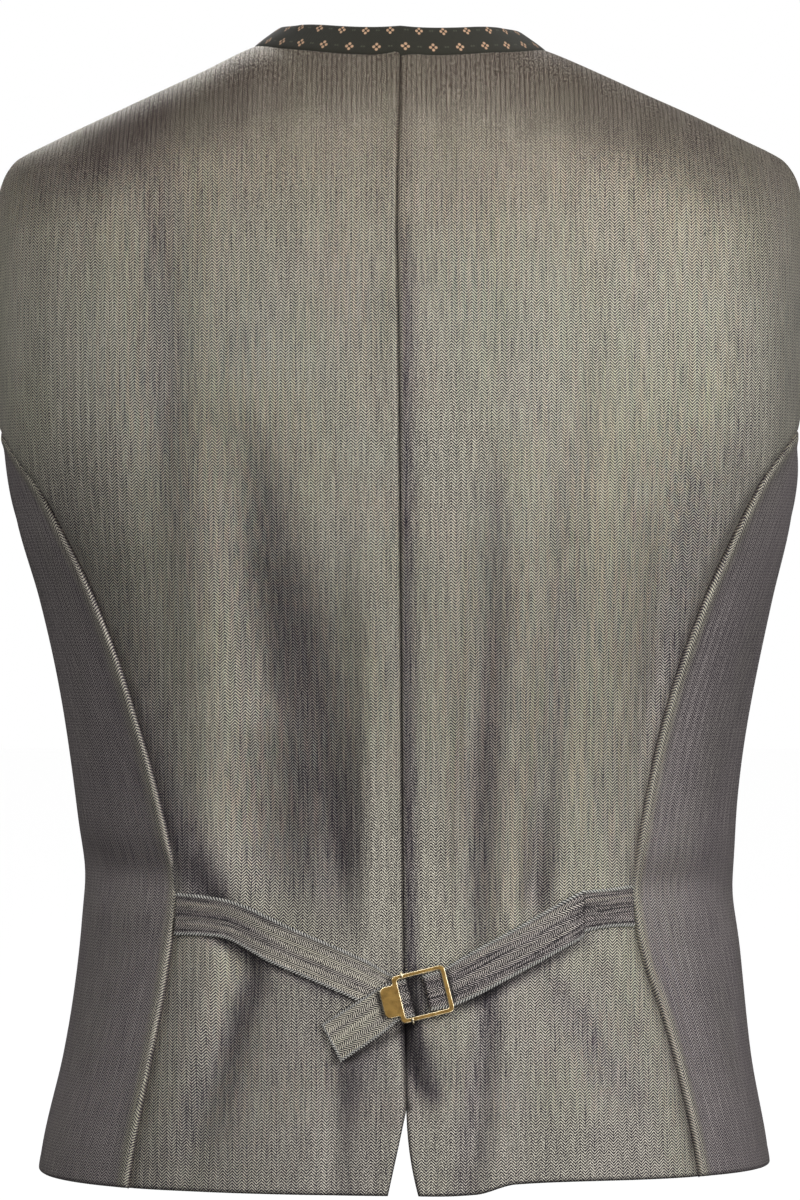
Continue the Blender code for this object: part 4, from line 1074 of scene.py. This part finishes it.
def wrap(bar, bar_lift, bar_radius, towards, half):
    """Stations of a strap round a bar, from under it to over it."""
    radius = bar_radius + GAP + STRAP_CLOTH / 2 + WRAP_SLACK
    angle = math.pi * (np.linspace(0, 1, WRAP_STEPS) - 0.5)
    along = bar + towards * radius * np.cos(angle)
    x = BUCKLE_X - along * math.cos(BUCKLE_TILT)
    z = BUCKLE_Z + along * math.sin(BUCKLE_TILT)
    lift = bar_lift + radius * np.sin(angle)
    same = np.ones(WRAP_STEPS)
    return np.stack([x, z, lift, math.degrees(BUCKLE_TILT) * same, half * same], axis=-1)


def back_point(x, z, lift):
    """Point at a height over the plain form of the back."""
    turn = turn_at(x, z, "back")
    run = run_of(turn, z)
    return form(turn, run) + outward(turn, run) * np.asarray(lift)[..., None]


def strap_cloth():
    """The backs' cloth along a strap, with a twisted overcasting along both edges."""
    material, tree, shader = shaded("herringbone_strap")
    plus, _, times, _, scaled = sums(tree)
    threads = threads_of(tree)
    weave = weave_in(tree, threads, 0.0024, 0.00134, (0.028, 0.023, 0.027, 1), (0.97, 0.91, 0.78, 1)).outputs
    edge = remap(tree, mark(tree, "rim"), 0.8, 1.5, 1.0, 0.0)
    split = node(tree, "ShaderNodeSeparateXYZ", {0: threads}).outputs
    twist = plus(split[1], times(calc(tree, "ABSOLUTE", split[0]), 1.1))
    turns = scaled(calc(tree, "SINE", times(twist, 2 * math.pi / 0.0015)), 0.5, 0.5)
    thread = blend(tree, remap(tree, turns, 0.25, 0.75), (0.03, 0.028, 0.03, 1), (1.0, 0.98, 0.92, 1))
    height = plus(weave["Height"], times(times(turns, edge), 2.5))
    feed(tree, shader, {
        "Base Color": blend(tree, edge, weave["Color"], thread), "Roughness": weave["Roughness"],
        "Metallic": times(weave["Metallic"], scaled(edge, -0.5, 1.0)),
        "Normal": bump(tree, height, 0.6, 0.00025)})
    return material


strap_material = strap_cloth()


# Painted shadow on the straps beside the buckle's edges.
def shadow_by_buckle(points):
    aside, drop = points[..., 0] - BUCKLE_X, points[..., 2] - BUCKLE_Z
    along = drop * math.sin(BUCKLE_TILT) - aside * math.cos(BUCKLE_TILT)
    across = np.abs(drop * math.cos(BUCKLE_TILT) + aside * math.sin(BUCKLE_TILT))
    return sum(np.exp(-((along - buckle_edge.along) / BUCKLE_SHADOW_WIDTH) ** 2) * np.clip(buckle_edge.reach - across, 0, 1)
               for buckle_edge in BUCKLE_EDGE_SHADOWS)


def lay_strap(name, stations, seed, wear, past_end):
    """Strap along its stations, with a rolled edge on each side and slight creases across it. Its end is
    overcast where it is raw, and not where it goes on past_end millimetres under the cloth."""
    length = travelled(back_point(*stations[:, :3].T))
    span = np.cos(np.linspace(math.pi, 0, STRAP_GRID + 1))[:, None]
    across, along, x, z, lift, slant, half = np.broadcast_arrays(span, length[None], *stations.T[:, None])
    lean = np.radians(slant)
    inset = half * (1 - np.abs(across))
    roll = 0.30 * np.exp(-((inset - 0.7) / 0.6) ** 2) - 0.25 * np.exp(-inset / 0.3)
    crease = 0.35 * wave(across * 9, along * 2.2, seed)
    points = back_point(x + across * half * np.sin(lean), z + across * half * np.cos(lean), lift)
    ahead = np.gradient(back_point(x, z, lift), axis=1)
    points = points + unit(np.cross(ahead, points[-1:] - points[:1])) * (roll + crease)[..., None]
    # painted shade along the strap, with streaks of it down its length, and painted shadow beside the buckle
    strap_shade = np.interp(along / length[-1], [row.share for row in wear], [row.crush for row in wear])
    shading_streaks = (strap_shade + 0.28 * np.sin(across * 7 + along / 40 + seed)
              + 0.2 * np.sin(across * 17 - along / 25 + 2 * seed) + 0.2 * wave(across * 60, along, seed))
    marks = {"rim": np.minimum(inset, length[-1] - along + past_end), "crush": np.clip(shading_streaks, -0.2, 1.3),
             "soil": BUCKLE_SHADOW_DARK * np.clip(shadow_by_buckle(points), 0, 1)}
    threads = np.stack([across * half, along], axis=-1)
    strap = cloth_grid(name, points, threads, STRAP_CLOTH, strap_material, marks)
    strap.modifiers["wall"].offset = 0
    stand_in_cloth(strap, name)


left_bend = wrap(BAR_X, BAR_LIFT, BAR_RADIUS, 1, STRAP_IN_BUCKLE)
right_bend = wrap(FIXED_BAR_X, FIXED_BAR_LIFT, FIXED_BAR_RADIUS, -1, RETURN_IN_BUCKLE)
left_route = np.concatenate([through(LEFT_STRAP, 14), left_bend, through(LEFT_TAIL, 16)])
right_route = np.concatenate([through(RIGHT_RETURN, 5), right_bend, through(RIGHT_STRAP, 14)])
lay_strap("strap_left", left_route, 1.0, LEFT_STRAP_SHADE, 0)
lay_strap("strap_right", right_route, 4.0, RIGHT_STRAP_SHADE, 10)

# ---------------------------------------------------------------- the buckle
# Cast and tumbled buckle of antique brass: a rounded frame with a stepped plate on one side and a fixed bar
# under it, and a loose wire bar whose ends are bent round the rails so that it slides.
FRAME_THICK = 1.2
FRAME_HALF_X, FRAME_HALF_Y = 13.8, 12.2
PLATE_END, PLATE_HALF_Y = -21.0, 8.1
WINDOW_NEAR, WINDOW_FAR, WINDOW_HALF_Y = -11.0, 11.2, 9.9
STAPLE_TAPER = 1.3
EDGE_ROUND = 0.52
FRAME_CORNERS = table(
    "x y radius",
    (FRAME_HALF_X, -FRAME_HALF_Y, 2.6), (FRAME_HALF_X, FRAME_HALF_Y, 2.6),
    (-FRAME_HALF_X, FRAME_HALF_Y, 2.4), (-FRAME_HALF_X, PLATE_HALF_Y, 0.8), (PLATE_END, PLATE_HALF_Y, 3.2),
    (PLATE_END, -PLATE_HALF_Y, 3.2), (-FRAME_HALF_X, -PLATE_HALF_Y, 0.8),
    (-FRAME_HALF_X, -FRAME_HALF_Y, 2.4),
)
WINDOW_CORNERS = table(
    "x y radius",
    (WINDOW_FAR, -WINDOW_HALF_Y, 1.2), (WINDOW_FAR, WINDOW_HALF_Y, 1.2), (WINDOW_NEAR, WINDOW_HALF_Y, 1.2),
    (WINDOW_NEAR, -WINDOW_HALF_Y, 1.2),
)


def buckle_axes():
    """The buckle's own axes: x along the strap, y across it, z out of the back."""
    turn = turn_at(BUCKLE_X, BUCKLE_Z, "back")
    out = Vector(outward(turn, run_of(turn, BUCKLE_Z)))
    along = Vector((-math.cos(BUCKLE_TILT), 0, math.sin(BUCKLE_TILT)))
    along = (along - out * along.dot(out)).normalized()
    axes = Matrix((along, out.cross(along), out)).transposed().to_4x4()
    return Matrix.Translation(Vector(back_point(BUCKLE_X, BUCKLE_Z, BUCKLE_LIFT)) * MM) @ axes


def rounded(corners, steps=8):
    """Outline through square corners, each rounded with an arc."""
    outline = []
    for index, (x, y, radius) in enumerate(corners):
        corner = Vector((x, y))
        to_before = (Vector(corners[index - 1][:2]) - corner).normalized() * radius
        to_after = (Vector(corners[(index + 1) % len(corners)][:2]) - corner).normalized() * radius
        for step in range(steps + 1):
            angle = math.pi / 2 * step / steps
            outline.append(corner + to_before * (1 - math.sin(angle)) + to_after * (1 - math.cos(angle)))
    return outline


def curve_mesh(lines, closed, place, **settings):
    """Mesh of a curve through points in millimetres, put in its place."""
    curve = bpy.data.curves.new("line", "CURVE")
    for setting, value in settings.items():
        setattr(curve, setting, value)
    for line in lines:
        spline = curve.splines.new("POLY")
        spline.points.add(len(line) - 1)
        spline.use_cyclic_u = closed
        for point, spot in zip(spline.points, line):
            point.co = (*(Vector(spot[:3]).to_3d() * MM), 1)
            point.radius = spot[3] if len(spot) > 3 else 1
    drawn = in_scene("line", curve)
    bpy.context.view_layer.update()
    mesh = bpy.data.meshes.new_from_object(drawn.evaluated_get(bpy.context.evaluated_depsgraph_get()))
    bpy.data.objects.remove(drawn)
    mesh.transform(place)
    return mesh


def bent_wire(half, radius):
    """Round wire through the points of its one half and of their mirror image, with a thickness at each."""
    other = [(x, -y, z, size) for x, y, z, size in reversed(half)]
    return curve_mesh([half + other], False, buckle_place, dimensions="3D", bevel_depth=radius * MM,
                      bevel_resolution=4, use_fill_caps=True)


def metal_piece(name, meshes):
    """One object of welded meshes, its rounded edges marked as worn and its flat faces left dull."""
    joined = bmesh.new()
    for mesh in meshes:
        joined.from_mesh(mesh)
    bmesh.ops.remove_doubles(joined, verts=joined.verts[:], dist=1e-6)
    wear = joined.verts.layers.float.new("wear")
    for vertex in joined.verts:
        turns = [edge.calc_face_angle_signed(0) for edge in vertex.link_edges]
        flat = any(len(face.verts) == 3 for face in vertex.link_faces)
        vertex[wear] = 0 if flat else min(max(max(turns, default=0) * 2.2, 0), 1)
    for edge in joined.edges:
        edge.smooth = len({len(face.verts) for face in edge.link_faces}) == 1
    for face in joined.faces:
        face.smooth = len(face.verts) == 4
    piece = in_scene(name, mesh_of(name, joined))
    piece.data.materials.clear()
    piece.data.materials.append(brass)
    stand_in(piece, name)
    return piece


def antique_brass_group():
    """Tumbled brass: brown in the hollows, bright on the worn edges, with fine scratches and spots."""
    group, given = new_group("antique brass", "Place", "Wear", "Bright Patina Polished", "Roughness Height")
    plus, minus, times, _, scaled = sums(group)
    cloudy = noise(group, given["Place"], 300.0, roughness=0.5)
    spots = noise(group, given["Place"], 1400.0)
    scratch = streaks(group, given["Place"], 300, 4200)
    worn_and_shaded = plus(remap(group, cloudy, 0.30, 0.70, 0.30, 0.66), times(given["Wear"], 0.6))
    worn_and_shaded = minus(worn_and_shaded, remap(group, spots, 0.56, 0.74, 0.0, 0.14))
    worn_and_shaded = calc(group, "MAXIMUM", calc(group, "MINIMUM", worn_and_shaded, 1.0), 0.0)
    polish = remap(group, scaled(cloudy, 0.6, given["Wear"]), 0.55, 1.0)
    metal = blend(group, worn_and_shaded, given["Patina"], given["Bright"])
    node(group, "NodeGroupOutput", {
        "Color": blend(group, polish, metal, given["Polished"]),
        "Roughness": plus(scaled(worn_and_shaded, -0.22, 0.50), remap(group, scratch, 0.45, 0.7, 0.0, 0.12)),
        "Height": plus(cloudy, times(spots, 0.5))})
    return group


ANTIQUE_BRASS = antique_brass_group()
brass, brass_tree, brass_shader = shaded("antique_brass")
finish = node(brass_tree, "ShaderNodeGroup", {
    "Place": node(brass_tree, "ShaderNodeTexCoord").outputs["Object"], "Wear": mark(brass_tree, "wear"),
    "Bright": (0.70, 0.435, 0.13, 1), "Patina": (0.15, 0.085, 0.028, 1), "Polished": (1.0, 0.88, 0.62, 1),
}, node_tree=ANTIQUE_BRASS).outputs
feed(brass_tree, brass_shader, {
    "Base Color": finish["Color"], "Roughness": finish["Roughness"], "Metallic": 1.0,
    "Normal": bump(brass_tree, finish["Height"], 0.12, 0.0001)})

buckle_place = buckle_axes()
frame_mesh = curve_mesh([rounded(FRAME_CORNERS), rounded(WINDOW_CORNERS)], True, buckle_place,
                        dimensions="2D", fill_mode="BOTH", extrude=(FRAME_THICK / 2 - EDGE_ROUND) * MM,
                        bevel_depth=EDGE_ROUND * MM, bevel_resolution=3, offset=-EDGE_ROUND * MM)
rail = (FRAME_HALF_Y + WINDOW_HALF_Y) / 2
low = FIXED_BAR_LIFT - BUCKLE_LIFT
staple = bent_wire([(FIXED_BAR_X, rail, 0, 1), (FIXED_BAR_X, rail - STAPLE_TAPER, low, 1)], FIXED_BAR_RADIUS)
over = FRAME_THICK / 2 + GAP + BAR_RADIUS
past = FRAME_HALF_Y + GAP + BAR_RADIUS
under = BAR_LIFT - BUCKLE_LIFT
hook = [(BAR_X, rail - 0.6, over, 1.5), (BAR_X, rail + 0.2, over, 1.6), (BAR_X, past - 0.5, over, 1.4),
        (BAR_X, past - 0.12, over - 0.15, 1.3), (BAR_X, past, over - 0.5, 1.2), (BAR_X, past, 0, 1.1),
        (BAR_X, past, under + 0.5, 1), (BAR_X, past - 0.15, under + 0.12, 1), (BAR_X, past - 0.5, under, 1)]
brass_pieces = [metal_piece("buckle_frame", [frame_mesh, staple]),
                metal_piece("buckle_bar", [bent_wire(hook, BAR_RADIUS)])]

# ---------------------------------------------------------------- the buttons
# Seven turned buttons in the buckle's brass down the left front: a domed middle in a thin raised rim, on a
# short shank.
BUTTON_PROFILE = table(
    "radius height",
    (0, 4.4), (1.6, 4.33), (3.2, 4.1), (4.6, 3.75), (5.4, 3.4), (5.8, 3.1), (6.1, 2.95), (6.5, 3.0),
    (6.9, 3.2), (7.3, 3.2), (7.7, 3.0), (7.95, 2.6), (8.0, 2.3), (7.9, 2.0), (7.5, 1.75), (4, 1.5),
    (2.1, 1.4), (2, 0.9), (2, 0.05), (0, 0),
)
for number, z in enumerate(BUTTON_HEIGHTS, 1):
    front = np.array([180.0])
    run = run_of(front, np.array([z]))
    out = Vector(outward(front, run)[0])
    seat = Vector(form(front, run)[0]) + out * (LAP_LIFT + GAP)
    turned = bmesh.new()
    rim = [turned.verts.new((part.radius * MM, 0, part.height * MM)) for part in BUTTON_PROFILE]
    edges = [turned.edges.new(pair) for pair in zip(rim, rim[1:])]
    bmesh.ops.spin(turned, geom=rim + edges, axis=(0, 0, 1), cent=(0, 0, 0), angle=2 * math.pi, steps=48,
                   use_merge=True)
    bmesh.ops.remove_doubles(turned, verts=turned.verts[:], dist=1e-6)
    bmesh.ops.recalc_face_normals(turned, faces=turned.faces[:])
    place = Matrix.Translation(seat * MM) @ out.to_track_quat("Z", "Y").to_matrix().to_4x4()
    bmesh.ops.transform(turned, matrix=place, verts=turned.verts[:])
    button = metal_piece(f"button_{number}", [mesh_of("button", turned)])
    for face in button.data.polygons:
        face.use_smooth = True

# ---------------------------------------------------------------- studio
# Plain pale floor far below the hem and a white backdrop that only the camera sees. A large soft key from
# the wearer's right, smaller soft boxes all round, and a lamp each for the floor and for the metal.
FLOOR_Z = -1.35
FLOOR_HALF = 40
CHEST = Vector((0, 0, -0.28))
CAMERA_AWAY, CAMERA_Z = 3.1, -0.284
SOFTBOXES = table(
    "name x y z width height power",
    ("key", -2.0, 2.4, 0.9, 1.3, 1.3, 38), ("near", -0.5, 3.2, 0.8, 1.0, 1.0, 5),
    ("high", 0.4, 2.0, 2.0, 0.6, 0.5, 8), ("left", 1.6, 2.6, 0.9, 0.7, 0.8, 13),
    ("low", -0.9, 2.3, -1.25, 1.4, 0.6, 12), ("top", -0.2, -0.5, 2.4, 1.4, 0.8, 5),
    ("rim_right", -2.8, -0.9, 0.5, 0.8, 1.6, 8), ("rim_left", 2.8, -0.9, 0.4, 0.8, 1.6, 7),
    ("front", 0.35, -3.0, 1.1, 1.0, 1.2, 42), ("front_low", -0.3, -3.0, -0.5, 0.8, 1.0, 12),
)
floor_shape = bmesh.new()
bmesh.ops.create_grid(floor_shape, x_segments=1, y_segments=1, size=FLOOR_HALF)
for vertex in floor_shape.verts:
    vertex.co.z = FLOOR_Z
floor_material, floor_tree, floor_shader = shaded("floor")
feed(floor_tree, floor_shader, {"Base Color": (0.86, 0.86, 0.86, 1)})
floor = in_scene("floor", mesh_of("floor", floor_shape))
floor.data.materials.append(floor_material)
floor.visible_diffuse = False
floor.visible_glossy = False

world = bpy.data.worlds.new("studio")
bpy.context.scene.world = world
world.use_nodes = True
room = world.node_tree
dim = room.nodes["Background"]
feed(room, dim, {"Color": (1, 1, 1, 1), "Strength": 0.035})
backdrop = node(room, "ShaderNodeBackground", {"Color": (1, 1, 1, 1), "Strength": 1.0})
seen = node(room, "ShaderNodeLightPath").outputs["Is Camera Ray"]
both = node(room, "ShaderNodeMixShader", {0: seen, 1: dim.outputs[0], 2: backdrop.outputs[0]})
feed(room, room.nodes["World Output"], {0: both.outputs[0]})
bpy.context.scene.view_settings.view_transform = "Standard"


def lamp(name, kind, place, power, pieces=(), **settings):
    """Lamp turned to the chest. It lights only the given pieces, or all where none are given."""
    light = bpy.data.lights.new(name, kind)
    light.energy = power
    for setting, value in settings.items():
        setattr(light, setting, value)
    made = in_scene(name, light)
    made.location = place
    made.rotation_euler = (CHEST - Vector(place)).to_track_quat("-Z", "Y").to_euler()
    if pieces:
        lit = bpy.data.collections.new(name)
        for piece in pieces:
            lit.objects.link(piece)
        made.light_linking.receiver_collection = lit


for box in SOFTBOXES:
    lamp(box.name, "AREA", (box.x, box.y, box.z), box.power, shape="RECTANGLE", size=box.width,
         size_y=box.height)
lamp("floor_lamp", "SUN", CHEST + Vector((0, 0, 3)), 4.3, [floor], angle=math.radians(50))
lamp("glint", "AREA", (1.1, 2.0, 1.4), 18, brass_pieces, size=0.9)

camera = bpy.data.cameras.new("camera")
camera.sensor_fit = "VERTICAL"
camera.sensor_height = 36
camera.lens = 180
camera_object = in_scene("camera", camera)
camera_object.location = (0, CAMERA_AWAY, CAMERA_Z)
camera_object.rotation_euler = (math.pi / 2, 0, math.pi)
bpy.context.scene.camera = camera_object
